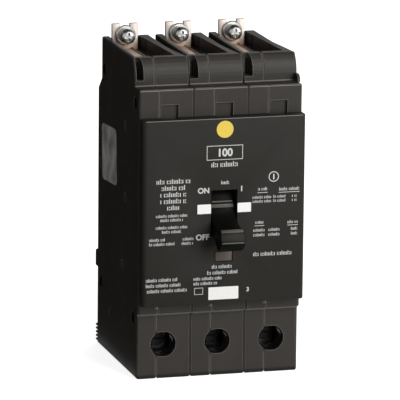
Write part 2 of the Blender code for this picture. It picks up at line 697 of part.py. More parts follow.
def build_link(name, eye, left):
    """A flat toggle link from its pin to the knee."""
    right = left + LINK_THICKNESS
    link = prism(name, bar_outline(eye, LINK_RADIUS, KNEE, LINK_RADIUS), "X", left, right)
    for place in (eye, KNEE):
        cut(link, rod("eye", "X", place, LINK_PIN + GAP, left - OVERCUT, right + OVERCUT, LINK_PIN_STEPS))
    dress(hinge_at(link, eye), "bare_steel")


def build_spring():
    """The main spring, hooked on the handle's hub and swung with it."""
    turns = 8 * SPRING_TURNS
    start = HUB_RADIUS + GAP + SPRING_WIRE
    path = bpy.data.curves.new("mechanism_spring", "CURVE")
    path.dimensions = "3D"
    path.bevel_depth = SPRING_WIRE
    path.bevel_resolution = 1
    path.use_fill_caps = True
    line = path.splines.new("POLY")
    line.points.add(turns)
    for i, point in enumerate(line.points):
        a = 2 * math.pi * i / 8
        x = -SPRING_OFFSET + SPRING_RADIUS * math.cos(a)
        point.co = (x, start + SPRING_LENGTH * i / turns, SPRING_RADIUS * math.sin(a), 1.0)
    spring = bpy.data.objects.new("mechanism_spring", path)
    bpy.context.scene.collection.objects.link(spring)
    spring.location = (0.0, *HANDLE_PIVOT)
    spring.rotation_euler.x = math.radians(HANDLE_REST)
    spring.parent = DATUM
    path.materials.append(finish("bare_steel"))


CRANK_PIN = turned((CROSSBAR_Y - CRANK_REACH, CROSSBAR_Z - CRANK_DROP), CROSSBAR, CONTACT_SWING)
build_frame()
build_cradle()
build_link("link_lower", CRADLE_LINK, LINK_START)
build_link("link_upper", CRANK_PIN, UPPER_LINK_START)
build_spring()


# Crossbar, crank and contact arms, shown open
def build_crossbar():
    reach = BODY_WIDTH / 2 - WALL / 2 - GAP
    bar = rod("crossbar", "X", CROSSBAR, CROSSBAR_RADIUS, -reach, reach)
    dress(hinge_at(bar, CROSSBAR), "insulator")
    stop = CRANK_START + CRANK_WIDTH
    outline = bar_outline(CROSSBAR, ARM_EYE, CRANK_PIN, LINK_RADIUS)
    crank = prism("drive_crank", outline, "X", CRANK_START, stop)
    bore = CROSSBAR_RADIUS + GAP
    cut(crank, rod("bore", "X", CROSSBAR, bore, CRANK_START - OVERCUT, stop + OVERCUT))
    middle = CRANK_START + CRANK_WIDTH / 2
    fuse(crank, rod("pin", "X", CRANK_PIN, LINK_PIN, UPPER_LINK_START, middle, LINK_PIN_STEPS))
    dress(hinge_at(crank, CROSSBAR), "bare_steel")


def build_contact_arm(pole):
    middle = tab_middle(pole)
    across = (middle - ARM_WIDTH / 2, middle + ARM_WIDTH / 2)
    arm = rod(f"contact_arm_{pole + 1}", "X", (0.0, 0.0), ARM_EYE, *across)
    half = ARM_THICKNESS / 2
    fuse(arm, block("bar", across, (-half, half), (CROSSBAR_RADIUS + OVERCUT, ARM_LENGTH)))
    face = (0.0, half + PAD_CONTACT)
    fuse(arm, block("contact", across, face, (ARM_LENGTH - PAD_CONTACT_HEIGHT, ARM_LENGTH)))
    bore = CROSSBAR_RADIUS + GAP
    cut(arm, rod("bore", "X", (0.0, 0.0), bore, across[0] - OVERCUT, across[1] + OVERCUT))
    arm.location = (0.0, *CROSSBAR)
    arm.rotation_euler.x = math.radians(CONTACT_SWING)
    dress(arm, "copper")


# Line terminal: fork tab, strap under the trough's floor and fixed contact, with its captive screw
def build_line_terminal(pole):
    middle = tab_middle(pole)
    across = (middle - TAB_WIDTH / 2, middle + TAB_WIDTH / 2)
    top = TROUGH_FLOOR - WALL - GAP
    run = [
        (TAB_REAR, TAB_TOP),
        (TAB_REAR - TAB_THICKNESS, TAB_TOP),
        (TAB_REAR - TAB_THICKNESS, top),
        (STRAP_DIVE, top),
        (STRAP_DIVE, CROSSBAR_Z + ARM_LENGTH),
        (STRAP_DIVE - PAD_CONTACT, CROSSBAR_Z + ARM_LENGTH),
        (STRAP_DIVE - PAD_CONTACT, CROSSBAR_Z + ARM_LENGTH - PAD_CONTACT_HEIGHT),
        (STRAP_DIVE + TAB_THICKNESS, CROSSBAR_Z + ARM_LENGTH - PAD_CONTACT_HEIGHT),
        (STRAP_DIVE + TAB_THICKNESS, top - TAB_THICKNESS),
        (TAB_REAR - TAB_STEP, top - TAB_THICKNESS),
        (TAB_REAR - TAB_STEP, TROUGH_FLOOR + GAP),
        (TAB_REAR, TROUGH_FLOOR + GAP),
    ]
    terminal = prism(f"line_terminal_{pole + 1}", run, "X", *across)
    slot = LINE_SCREW_RADIUS + GAP
    outline = arc((middle, LINE_SCREW_Z), slot, math.pi, 2 * math.pi, 8)
    outline += [(middle + slot, TAB_TOP + OVERCUT), (middle - slot, TAB_TOP + OVERCUT)]
    behind = (TAB_REAR - TAB_THICKNESS - OVERCUT, TAB_REAR + OVERCUT)
    cut(terminal, prism("fork_slot", outline, "Y", *behind))
    dress(terminal, "tinned_copper")


def build_line_screw(pole):
    axis = (tab_middle(pole), LINE_SCREW_Z)
    washer_rear = TAB_REAR - TAB_THICKNESS - GAP
    washer_front = washer_rear - WASHER_THICKNESS
    washer = rod(f"line_washer_{pole + 1}", "Y", axis, WASHER_RADIUS, washer_front, washer_rear)
    hole = LINE_SCREW_RADIUS + GAP
    cut(washer, rod("hole", "Y", axis, hole, washer_front - OVERCUT, washer_rear + OVERCUT, PIN_STEPS))
    dress(washer, "zinc_steel")
    head_rear = washer_front - GAP
    head_front = head_rear - LINE_HEAD_LENGTH
    screw = rod(f"line_screw_{pole + 1}", "Y", axis, LINE_HEAD_RADIUS, head_front, head_rear)
    fuse(screw, rod("shank", "Y", axis, LINE_SCREW_RADIUS, head_rear - OVERCUT, LINE_SCREW_END, PIN_STEPS))
    slot = (axis[0] - SLOT_WIDTH / 2, axis[0] + SLOT_WIDTH / 2)
    height = (axis[1] - LINE_HEAD_RADIUS * 2, axis[1] + LINE_HEAD_RADIUS * 2)
    cut(screw, block("slot", slot, (head_front - OVERCUT, head_front + SLOT_DEPTH), height))
    dress(screw, "zinc_steel")


# Arc chute: parallel plates held between two cheeks
def build_arc_chute(pole):
    side = WALL + GAP
    across = (pole_left(pole) + side, pole_left(pole + 1) - side)
    front = CASE_FRONT + WALL + GAP
    top = CHAMBER_SHOULDER - GAP
    chute = block(f"arc_chute_{pole + 1}", across, (front, CHUTE_REAR), (CHUTE_BOTTOM, top))
    step = (top - CHUTE_BOTTOM - CHUTE_PLATE) / (CHUTE_PLATES - 1)
    inner = (across[0] + CHUTE_CHEEK, across[1] - CHUTE_CHEEK)
    through = (front - OVERCUT, CHUTE_REAR + OVERCUT)
    for i in range(CHUTE_PLATES - 1):
        low = CHUTE_BOTTOM + CHUTE_PLATE + i * step
        cut(chute, block("gap", inner, through, (low, low + step - CHUTE_PLATE)))
    dress(chute, "bare_steel")


# Trip unit of a pole: bimetal, magnet yoke, load strap and braid
def build_trip_pieces(pole):
    middle = pole_middle(pole)
    half = BIMETAL_WIDTH / 2
    behind = BIMETAL_FRONT + BIMETAL_THICKNESS
    across = (middle - half, middle + half)
    low = BOTTOM_WALL + LUG_HEIGHT + 2 * GAP
    strap_top = low + LOAD_STRAP_RISE
    height = (strap_top - BIMETAL_LAP, BIMETAL_TOP)
    strip = block(f"bimetal_{pole + 1}", across, (BIMETAL_FRONT, behind), height)
    dress(strip, "copper")
    half = MAGNET_WIDTH / 2
    rear = REAR - WALL - GAP
    height = (MAGNET_BOTTOM, MAGNET_TOP)
    yoke = block(f"magnet_yoke_{pole + 1}", (middle - half, middle + half), (MAGNET_FRONT, rear), height)
    inner = half - MAGNET_THICKNESS
    inside = (MAGNET_BOTTOM - OVERCUT, MAGNET_TOP + OVERCUT)
    hollow = (MAGNET_FRONT - OVERCUT, rear - MAGNET_THICKNESS)
    cut(yoke, block("hollow", (middle - inner, middle + inner), hollow, inside))
    dress(yoke, "bare_steel")
    half = LOAD_STRAP_WIDTH / 2
    front = behind + GAP
    outline = [
        (LOAD_STRAP_FRONT, low),
        (front + LOAD_STRAP_THICKNESS, low),
        (front + LOAD_STRAP_THICKNESS, strap_top),
        (front, strap_top),
        (front, low + LOAD_STRAP_THICKNESS),
        (LOAD_STRAP_FRONT, low + LOAD_STRAP_THICKNESS),
    ]
    strap = prism(f"load_strap_{pole + 1}", outline, "X", middle - half, middle + half)
    dress(strap, "tinned_copper")


def build_braid(pole):
    """The flexible braid from the contact arm's eye to the top of the bimetal."""
    start = Vector((tab_middle(pole), CROSSBAR_Y + ARM_EYE + GAP, CROSSBAR_Z))
    top = BIMETAL_TOP + GAP
    stop = Vector((pole_middle(pole), BIMETAL_FRONT + BIMETAL_THICKNESS / 2, top))
    lift = Vector((0.0, (stop.y - start.y) * BRAID_BOW, 0.0))
    rise = Vector((0.0, 0.0, start.z - stop.z + 2 * BRAID_RADIUS))
    braid = bpy.data.curves.new(f"braid_{pole + 1}", "CURVE")
    braid.dimensions = "3D"
    braid.bevel_depth = BRAID_RADIUS
    braid.bevel_resolution = 1
    braid.use_fill_caps = True
    line = braid.splines.new("POLY")
    points = 10
    line.points.add(points)
    for i, point in enumerate(line.points):
        t = i / points
        near = (1 - t) ** 3 * start + 3 * t * (1 - t) ** 2 * (start + lift)
        far = 3 * t**2 * (1 - t) * (stop + rise) + t**3 * stop
        point.co = (*(near + far), 1.0)
    made = bpy.data.objects.new(f"braid_{pole + 1}", braid)
    bpy.context.scene.collection.objects.link(made)
    made.parent = DATUM
    braid.materials.append(finish("copper"))


# Load lug and its screw
def build_lug(pole):
    middle = pole_middle(pole)
    half = LUG_WIDTH / 2
    low = BOTTOM_WALL + GAP
    depth = (LUG_START, LUG_START + LUG_LENGTH)
    lug = block(f"load_lug_{pole + 1}", (middle - half, middle + half), depth, (low, low + LUG_HEIGHT))
    cut(lug, rod("wire_bore", "Z", (middle, WIRE_Y), WIRE_RADIUS, low - OVERCUT, low + LUG_HEIGHT + OVERCUT))
    thread = LUG_SCREW_RADIUS + GAP
    cut(lug, rod("thread", "Y", (middle, ACCESS_Z), thread, LUG_START - OVERCUT, WIRE_Y))
    dress(lug, "aluminium")
    stop = LUG_SCREW_START + LUG_SCREW_LENGTH
    screw = rod(f"lug_screw_{pole + 1}", "Y", (middle, ACCESS_Z), LUG_SCREW_RADIUS, LUG_SCREW_START, stop)
    wide = LUG_SCREW_RADIUS * 2
    slot = (middle - wide, middle + wide)
    height = (ACCESS_Z - SLOT_WIDTH / 2, ACCESS_Z + SLOT_WIDTH / 2)
    cut(screw, block("slot", slot, (LUG_SCREW_START - OVERCUT, LUG_SCREW_START + SLOT_DEPTH), height))
    dress(screw, "black_steel")


build_crossbar()
for pole in range(POLES):
    build_contact_arm(pole)
    build_line_terminal(pole)
    build_line_screw(pole)
    build_arc_chute(pole)
    build_trip_pieces(pole)
    build_braid(pole)
    build_lug(pole)


# Trip bar across the poles, and the button that pushes it
def build_trip_bar():
    reach = BODY_WIDTH / 2 - WALL / 2 - GAP
    bar = rod("trip_bar", "X", TRIP_BAR, TRIP_BAR_RADIUS, -reach, reach, PIN_STEPS)
    depth = (TRIP_BAR_Y - TRIP_FINGER / 2, TRIP_BAR_Y + TRIP_FINGER / 2)
    for pole in range(POLES):
        middle = pole_middle(pole)
        across = (middle - TRIP_FINGER_WIDTH / 2, middle + TRIP_FINGER_WIDTH / 2)
        fuse(bar, block("finger", across, depth, (TRIP_BAR_Z, TRIP_FINGER_TOP)))
    stem = (STEM_LEFT, STEM_LEFT + STEM_WIDTH)
    fuse(bar, block("push_finger", stem, depth, (STEM_BOTTOM, TRIP_BAR_Z)))
    dress(hinge_at(bar, TRIP_BAR), "insulator")


def build_trip_button():
    half = BUTTON_WIDTH / 2
    button = block("trip_button", (-half, half), (BUTTON_FACE, BUTTON_LENGTH), (BUTTON_BOTTOM, BUTTON_TOP))
    ease(button, 1, BUTTON_FACE, RIM_RADIUS, 2)
    reach = TRIP_BAR_Y - TRIP_FINGER / 2 - GAP
    stem = (STEM_LEFT, STEM_LEFT + STEM_WIDTH)
    height = (STEM_BOTTOM, STEM_BOTTOM + STEM_HEIGHT)
    fuse(button, block("stem", stem, (BUTTON_LENGTH - OVERCUT, reach), height))
    dress(button, "button_grey")


build_trip_bar()
build_trip_button()


# Through rivets, with their heads sunk in the outer sides
for number, place in enumerate(RIVET_PLACES, 1):
    side = BODY_WIDTH / 2 - SEAM
    rivet = rod(f"case_rivet_{number}", "X", place, RIVET_RADIUS, -side, side, PIN_STEPS)
    for low, high in ((-side, RIVET_HEAD - side), (side - RIVET_HEAD, side)):
        fuse(rivet, rod("head", "X", place, RIVET_HEAD_RADIUS, low, high))
    dress(rivet, "black_steel")
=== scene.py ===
# %% [markdown]
# # A three-pole molded case breaker
# The imported part already has every solid at its real size and place. This lesson dresses it: molded edges,
# turned screws, plain printing, a foil label, surfaces and light. The part stays the frame that everything
# hangs on, so each new piece rides on one of its bodies, and some stand in for one of its nodes.

# %% Load the imported part
import json
import math

import bpy
from mathutils import Matrix, Vector

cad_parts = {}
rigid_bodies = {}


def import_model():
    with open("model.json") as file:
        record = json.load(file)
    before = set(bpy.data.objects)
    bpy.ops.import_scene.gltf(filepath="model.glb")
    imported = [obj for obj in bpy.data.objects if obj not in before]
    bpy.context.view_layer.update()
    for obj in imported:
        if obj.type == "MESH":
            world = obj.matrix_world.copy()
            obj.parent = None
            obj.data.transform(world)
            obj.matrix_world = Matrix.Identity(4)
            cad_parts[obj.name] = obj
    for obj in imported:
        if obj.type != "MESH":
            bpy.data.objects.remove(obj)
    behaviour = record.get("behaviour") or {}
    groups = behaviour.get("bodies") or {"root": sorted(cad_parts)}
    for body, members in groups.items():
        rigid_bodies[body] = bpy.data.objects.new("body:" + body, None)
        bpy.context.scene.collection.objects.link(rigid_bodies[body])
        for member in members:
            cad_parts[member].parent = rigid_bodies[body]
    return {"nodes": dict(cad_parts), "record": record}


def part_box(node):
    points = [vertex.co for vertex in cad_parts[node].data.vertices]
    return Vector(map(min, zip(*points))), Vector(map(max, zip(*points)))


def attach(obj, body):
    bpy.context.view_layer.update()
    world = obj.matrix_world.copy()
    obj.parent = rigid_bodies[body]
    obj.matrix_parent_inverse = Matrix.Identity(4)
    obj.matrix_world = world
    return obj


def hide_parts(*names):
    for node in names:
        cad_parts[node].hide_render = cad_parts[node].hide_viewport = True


for stale in list(bpy.data.objects):
    bpy.data.objects.remove(stale, do_unlink=True)
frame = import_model()
nodes = frame["nodes"]
bodies = frame["record"]["behaviour"]["bodies"]
node_body = {node: body for body, members in bodies.items() for node in members}
node_slot = {part["node"]: part["material_slot"] for part in frame["record"]["subparts"]}
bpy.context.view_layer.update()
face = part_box("front_plate")[0].y
print(len(nodes), "nodes, plate face at y =", round(face, 5))

# %% [markdown]
# ## Small modelling tools
# Operators act on whatever is selected, so one helper leaves a single piece selected. A second one picks
# faces by a test on their middle and normal, as a hand would pick them with the mouse. A Boolean modifier
# does the cutting, because it keeps the cut edges exact.

# %% Selection and cutting helpers
def pick(piece):
    """Leaves one object selected and active."""
    bpy.ops.object.select_all(action="DESELECT")
    piece.select_set(True)
    bpy.context.view_layer.objects.active = piece
    return piece


def open_faces(piece, test):
    """Opens a piece for editing with the faces that pass the test selected."""
    pick(piece)
    bpy.ops.object.mode_set(mode="EDIT")
    bpy.ops.mesh.select_mode(type="FACE")
    bpy.ops.mesh.select_all(action="DESELECT")
    bpy.ops.object.mode_set(mode="OBJECT")
    for polygon in piece.data.polygons:
        polygon.select = test(polygon.center, polygon.normal)
    bpy.ops.object.mode_set(mode="EDIT")


def close(piece, name):
    """Ends editing, names the piece and moves its place into its mesh."""
    if piece.mode == "EDIT":
        bpy.ops.object.mode_set(mode="OBJECT")
    pick(piece)
    bpy.ops.object.transform_apply(location=True, rotation=True, scale=True)
    piece.name = name
    piece.data.name = name
    return piece


def apply_modifier(piece, kind, **settings):
    """Adds one modifier with its settings and applies it."""
    pick(piece)
    change = piece.modifiers.new(kind.title(), kind)
    for key, value in settings.items():
        setattr(change, key, value)
    bpy.ops.object.modifier_apply(modifier=change.name)


def carve(piece, tool):
    """Cuts the tool's shape out of a piece, and removes the tool."""
    apply_modifier(piece, "BOOLEAN", operation="DIFFERENCE", solver="EXACT", object=tool)
    bpy.data.objects.remove(tool, do_unlink=True)


def box_tool(low, high):
    """A plain box between two corners, used as a cutter or as the start of a piece."""
    bpy.ops.object.select_all(action="DESELECT")
    low, high = Vector(low), Vector(high)
    bpy.ops.mesh.primitive_cube_add(size=1.0, location=(low + high) / 2)
    piece = bpy.context.object
    piece.scale = high - low
    bpy.ops.object.transform_apply(location=True, rotation=True, scale=True)
    return piece


def put_on(piece, node):
    """Sends a finished piece along with a node's body."""
    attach(piece, node_body[node])
    return piece


print("helpers ready")

# %% [markdown]
# ## Shader arithmetic
# Surfaces come from node trees. Writing them as sums is easier to read than wiring Math nodes one by
# one, so a small class wraps an output socket and turns `a * 2 + b` into nodes. Anything that isn't
# arithmetic goes through one method that takes a node type, its settings and its inputs.

# %% Wrapped sockets
class Value:
    """An output socket that does arithmetic by adding Math nodes to its tree."""

    def __init__(self, wiring, socket):
        self.wiring = wiring
        self.socket = socket

    def maths(self, operation, first, second):
        return self.wiring.add("ShaderNodeMath", {"operation": operation}, {0: first, 1: second})

    def __add__(self, other):
        return self.maths("ADD", self, other)

    __radd__ = __add__

    def __sub__(self, other):
        return self.maths("SUBTRACT", self, other)

    def __rsub__(self, other):
        return self.maths("SUBTRACT", other, self)

    def __mul__(self, other):
        return self.maths("MULTIPLY", self, other)

    __rmul__ = __mul__

    def __gt__(self, other):
        return self.maths("GREATER_THAN", self, other)

    def __lt__(self, other):
        return self.maths("LESS_THAN", self, other)


class Wiring:
    """A node tree, and the one method that adds a node to it."""

    def __init__(self, tree):
        self.tree = tree

    def add(self, kind, settings, inputs, output=0):
        """Adds any node: settings are set first, then values or links go into its sockets."""
        node = self.tree.nodes.new(kind)
        for key, value in settings.items():
            setattr(node, key, value)
        for key, value in inputs.items():
            if isinstance(value, Value):
                self.tree.links.new(value.socket, node.inputs[key])
            else:
                node.inputs[key].default_value = value
        return Value(self, node.outputs[output])


class Surface(Wiring):
    """A material with one Principled shader, and the node tree that feeds it."""

    def __init__(self, name):
        self.material = bpy.data.materials.new(name)
        self.material.use_nodes = True
        super().__init__(self.material.node_tree)
        self.shader = self.tree.nodes["Principled BSDF"]
        self.place = self.add("ShaderNodeTexCoord", {}, {}, "Object")

    def noise(self, scale, detail=3.0, stretch=(1.0, 1.0, 1.0)):
        """Noise in the piece's own coordinates, about 1/scale metres to a blotch."""
        spread = self.add("ShaderNodeVectorMath", {"operation": "MULTIPLY"}, {0: self.place, 1: stretch})
        sockets = {"Vector": spread, "Scale": scale, "Detail": detail, "Roughness": 0.5}
        return self.add("ShaderNodeTexNoise", {}, sockets, "Fac")

    def shift(self, amount, first, second):
        """A colour between two colours, where either may be a wrapped socket."""
        settings = {"data_type": "RGBA", "blend_type": "MIX"}
        sockets = {0: amount, 6: first, 7: second}
        return self.add("ShaderNodeMix", settings, sockets, 2)

    def tint(self, amount, first, second):
        """A colour between two plain colours, given without alpha."""
        return self.shift(amount, (*first, 1.0), (*second, 1.0))

    def feed(self, **inputs):
        """Sets or links the shader's own sockets, named with _ for a space."""
        for key, value in inputs.items():
            socket = self.shader.inputs[key.replace("_", " ")]
            if isinstance(value, Value):
                self.tree.links.new(value.socket, socket)
            else:
                socket.default_value = value

    def edges(self, reach):
        """A mask of edges: 0 on flat ground, and about 0.3 on a square corner."""
        rounded = self.add("ShaderNodeBevel", {"samples": 6}, {"Radius": reach}, "Normal")
        flat = self.add("ShaderNodeNewGeometry", {}, {}, "Normal")
        settings = {"operation": "DOT_PRODUCT"}
        return 1.0 - self.add("ShaderNodeVectorMath", settings, {0: rounded, 1: flat}, "Value")

    def relief(self, height, depth):
        """Bumps the normal by a height, where 1 stands for the depth in metres."""
        sockets = {"Height": height, "Distance": depth, "Strength": 1.0}
        bump = self.add("ShaderNodeBump", {}, sockets, "Normal")
        self.tree.links.new(bump.socket, self.shader.inputs["Normal"])


print("shader tools ready")

# %% [markdown]
# ## Molded black
# The case is a thermoset molding: satin black with a warm cast, faint cloudy flow marks, fine grain and a
# little pale dust. A flat colour would look like paint, so the colour drifts with slow noise, sparse specks
# lighten it, and a fine bump breaks the gloss. The corners are painted pale, partly as worn spots and partly
# as the painted highlight a rounded edge catches. A Bevel node finds them: where its rounded normal leaves
# the flat one, an edge is near. Low down, the case is painted darker, a painted shade along its bottom. The
# handle is polished by fingers.

# %% Molded finishes
def molding(name, dark, pale, gloss, grain, depth, shine=0.08, wear=3.2, foot=None):
    """A molded plastic: cloudy colour, sparse specks, edges painted pale as worn spots and painted
    highlight, a fine grain and maybe painted shade along the bottom.
    """
    surface = Surface(name)
    clouds = surface.noise(70.0, 4.0, (1.0, 1.0, 0.35))
    specks = surface.noise(2600.0, 2.0) > 0.70
    body = surface.tint(clouds, dark, pale)
    dusty = (*(min(1.0, 2.2 * channel) for channel in pale), 1.0)
    edge_wear_and_highlight_colour = (*(min(1.0, 7.0 * channel) for channel in pale), 1.0)
    colour = surface.shift(specks * 0.35, body, dusty)
    patchy = surface.noise(500.0, 3.0) + 0.5
    # Edges painted pale: worn spots, and a painted highlight along each rounded edge.
    colour = surface.shift(surface.edges(0.00035) * patchy * wear, colour, edge_wear_and_highlight_colour)
    # Painted shade: below a given height the colour turns darker, along the bottom of the case.
    if foot is not None:
        height = surface.add("ShaderNodeSeparateXYZ", {}, {0: surface.place}, "Z")
        colour = surface.shift((foot - height) * 3000.0, colour, (0.010, 0.009, 0.008, 1.0))
    scuffs = surface.noise(220.0, 5.0)
    surface.feed(Base_Color=colour, Roughness=scuffs * 0.16 + (gloss - 0.08), Specular_IOR_Level=shine)
    surface.relief(surface.noise(grain, 4.0) + surface.noise(160.0) * 0.6, depth)
    return surface.material


umber = ((0.026, 0.0232, 0.0205), (0.038, 0.0342, 0.0305))
plate_black = ((0.0165, 0.0158, 0.0140), (0.0240, 0.0230, 0.0202))
jet = ((0.0030, 0.0030, 0.0027), (0.0055, 0.0054, 0.0048))
button_brown = ((0.085, 0.070, 0.060), (0.120, 0.100, 0.086))
phenolic = ((0.060, 0.026, 0.014), (0.105, 0.048, 0.027))
# Pale for the painted glint in the funnels.
glint_pale = ((0.70, 0.69, 0.67), (0.86, 0.85, 0.83))
# Pale grey for the painted highlights on the handle's ribs, also used for the gate marks.
highlight_and_gate_pale = ((0.075, 0.072, 0.062), (0.115, 0.110, 0.096))
# Pale for the seam strips: a painted highlight along the partings.
seam_highlight_pale = ((0.070, 0.065, 0.058), (0.125, 0.117, 0.105))
# Pale for the painted highlight lines along the ledge and the plate.
highlight_line_pale = ((0.150, 0.143, 0.132), (0.230, 0.220, 0.205))
molded_case = molding("molded_case", *umber, 0.42, 1900.0, 0.000020, 0.14, 5.5, 0.0018)
molded_plate = molding("molded_plate", *plate_black, 0.52, 3200.0, 0.000012, 0.08, 5.0)
handle_black = molding("handle_black", *jet, 0.44, 1500.0, 0.000006, 0.03, 1.5)
button_grey = molding("button_grey", *button_brown, 0.50, 2200.0, 0.000015)
insulator = molding("insulator", *phenolic, 0.48, 1800.0, 0.000020)
# Near black and glossy: a painted shade deep in the funnels and vents, and a painted shadow line over the
# lugs.
polished_black = molding("polished_black", *jet, 0.20, 1500.0, 0.000003, 1.0, 0.0)
bright_wear = molding("bright_wear", *glint_pale, 0.30, 1500.0, 0.000006, 0.5, 0.0)
rubbed_grey = molding("rubbed_grey", *highlight_and_gate_pale, 0.42, 1500.0, 0.000008)
flash_grey = molding("flash_grey", *seam_highlight_pale, 0.50, 2200.0, 0.000010, wear=0.0)
rub_grey = molding("rub_grey", *highlight_line_pale, 0.46, 2200.0, 0.000010, wear=0.0)
seam_black = molding("seam_black", *umber, 0.50, 2200.0, 0.000010, wear=0.0)
print("molded finishes ready")

# %% [markdown]
# ## Metals
# The line tabs are tin plated copper: silver with a pink cast, and bare brown copper near the case where the
# plating stops. The tin is dull, so it is only partly metallic, and doesn't mirror the lamp. Screws are zinc
# plated, lugs are plated aluminium, rivets are black oxide steel, and the mechanism is bare steel. The lug
# screws get the same near-black steel, a painted shade deep in their access holes. Each has a brushed
# direction, made by stretching noise, and slow stains in its colour and gloss.

# %% Metal finishes
def metal(name, dull, bright, gloss, brush, depth, plated_from=None, metallic=1.0):
    """A metal with stains in its colour and fine brushed lines."""
    surface = Surface(name)
    stains = surface.noise(260.0, 5.0)
    lines = surface.noise(900.0, 3.0, brush)
    blotch = surface.noise(90.0, 2.0)
    colour = surface.tint(stains * 0.7 + lines * 0.3, dull, bright)
    if plated_from is not None:
        height = surface.add("ShaderNodeSeparateXYZ", {}, {0: surface.place}, "Z")
        worn = (plated_from - height) * 500.0 + stains * 1.6 - 0.4
        colour = surface.shift(worn, colour, (0.46, 0.33, 0.25, 1.0))
    surface.feed(Base_Color=colour, Metallic=metallic)
    surface.feed(Roughness=lines * 0.14 + blotch * 0.16 + (gloss - 0.15))
    surface.relief(lines + stains * 0.5, depth)
    return surface.material


case_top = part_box("pole_case_1")[1].z
fine = 0.000008
tinned = ((0.37, 0.315, 0.280), (0.53, 0.470, 0.425))
tinned_copper = metal("tinned_copper", *tinned, 0.46, (0.25, 4.0, 0.25), fine, case_top - 0.003, 0.4)
copper = metal("copper", (0.52, 0.24, 0.14), (0.80, 0.44, 0.29), 0.36, (0.3, 3.0, 1.0), fine)
zinc_steel = metal("zinc_steel", (0.33, 0.33, 0.31), (0.58, 0.585, 0.57), 0.36, (2.5, 0.6, 2.5), fine)
bare_steel = metal("bare_steel", (0.30, 0.30, 0.305), (0.52, 0.52, 0.525), 0.38, (0.4, 3.0, 1.2), fine)
# Lug screws take this near black as a painted shade deep in their holes. Rivets are black oxide.
black_steel = metal("black_steel", (0.012, 0.012, 0.012), (0.026, 0.025, 0.024), 0.40, (1.0, 1.0, 2.0), fine)
lug_aluminium = metal("lug_aluminium", (0.56, 0.56, 0.565), (0.80, 0.80, 0.805), 0.36, (0.5, 0.5, 4.0), fine)
print("metal finishes ready")

# %% [markdown]
# ## Ink and paper
# The printing is a chalky white that lets a little of the plate through. Thin spots are made with noise in
# the colour. The blank label is coated paper with faint fibres. The foil reflects unevenly, and that uneven
# shine is painted into its colour as slow mottling, the same from every side.

# %% Ink and paper finishes
def ink(name, thin, full, gloss, reflection_mottle=0.0):
    """A thin printed or coated layer with worn spots."""
    surface = Surface(name)
    spots = surface.noise(1400.0, 3.0)
    fibres = surface.noise(600.0, 4.0, (3.0, 1.0, 0.6))
    amount = spots * 0.6 + fibres * 0.5
    # Painted reflection: slow mottling in the foil's colour stands in for its uneven shine.
    if reflection_mottle:
        amount = amount + (surface.noise(105.0, 1.0) - 0.5) * reflection_mottle
    surface.feed(Base_Color=surface.tint(amount, thin, full))
    surface.feed(Roughness=spots * 0.12 + gloss, Specular_IOR_Level=0.3)
    surface.relief(fibres, 0.000006)
    return surface.material


ink_white = ink("ink_white", (0.42, 0.42, 0.40), (0.66, 0.66, 0.64), 0.50)
ink_yellow = ink("ink_yellow", (0.60, 0.42, 0.05), (0.78, 0.58, 0.09), 0.45)
flag_white = ink("flag_white", (0.77, 0.77, 0.76), (0.83, 0.83, 0.82), 0.42)
foil = ink("foil", (0.19, 0.187, 0.176), (0.46, 0.45, 0.43), 0.34, 2.6)
label_paper = ink("label_paper", (0.70, 0.695, 0.67), (0.80, 0.795, 0.78), 0.42)
finishes = {
    "molded_case": molded_case,
    "molded_plate": molded_plate,
    "handle_black": handle_black,
    "button_grey": button_grey,
    "insulator": insulator,
    "tinned_copper": tinned_copper,
    "copper": copper,
    "zinc_steel": zinc_steel,
    "bare_steel": bare_steel,
    "black_steel": black_steel,
    "lug_aluminium": lug_aluminium,
}
for node, piece in nodes.items():
    piece.data.materials.clear()
    piece.data.materials.append(finishes[node_slot[node]])
print("finishes on", len(nodes), "nodes")

# %% [markdown]
# ## Rounded edges
# No molded or stamped edge is sharp: the tool is cut with a small radius, and that edge is what catches
# the light. Each of these solids is already right, so a copy of it is merged, its flat triangles are
# dissolved into whole faces, and a Bevel modifier rounds what is left.

# %% Copies with rounded edges
def dress(piece, material, angle=35.0):
    """Gives a piece its material and smooth shading."""
    pick(piece)
    piece.data.materials.clear()
    piece.data.materials.append(material)
    bpy.ops.object.shade_smooth_by_angle(angle=math.radians(angle))
    return piece


def merged_copy(node):
    """A copy of a node's mesh, merged, and with its flat triangles dissolved into whole faces."""
    piece = bpy.data.objects.new("soft_" + node, nodes[node].data.copy())
    bpy.context.scene.collection.objects.link(piece)
    pick(piece)
    bpy.ops.object.mode_set(mode="EDIT")
    bpy.ops.mesh.select_all(action="SELECT")
    bpy.ops.mesh.remove_doubles(threshold=0.000001)
    bpy.ops.mesh.dissolve_limited(angle_limit=math.radians(0.5))
    return close(piece, "soft_" + node)


def stand_in(piece, node, angle=35.0):
    """Puts a finished piece in a node's place, with its finish."""
    dress(piece, finishes[node_slot[node]], angle)
    put_on(piece, node)
    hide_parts(node)
    return piece


def soft_stand_in(node, radius):
    """A node's copy in its place, with every edge rounded that turns by more than 40 degrees."""
    piece = merged_copy(node)
    bevel = {"width": radius, "segments": 2, "limit_method": "ANGLE", "angle_limit": math.radians(40)}
    apply_modifier(piece, "BEVEL", use_clamp_overlap=False, **bevel)
    return stand_in(piece, node)


soft_stand_in("front_plate", 0.00018)
soft_stand_in("trip_button", 0.00018)
for pole in "123":
    soft_stand_in("line_terminal_" + pole, 0.00022)
    soft_stand_in("load_lug_" + pole, 0.00035)
for number in "1234":
    soft_stand_in("case_rivet_" + number, 0.00025)
print("rounded plate, button, tabs, lugs and rivets")

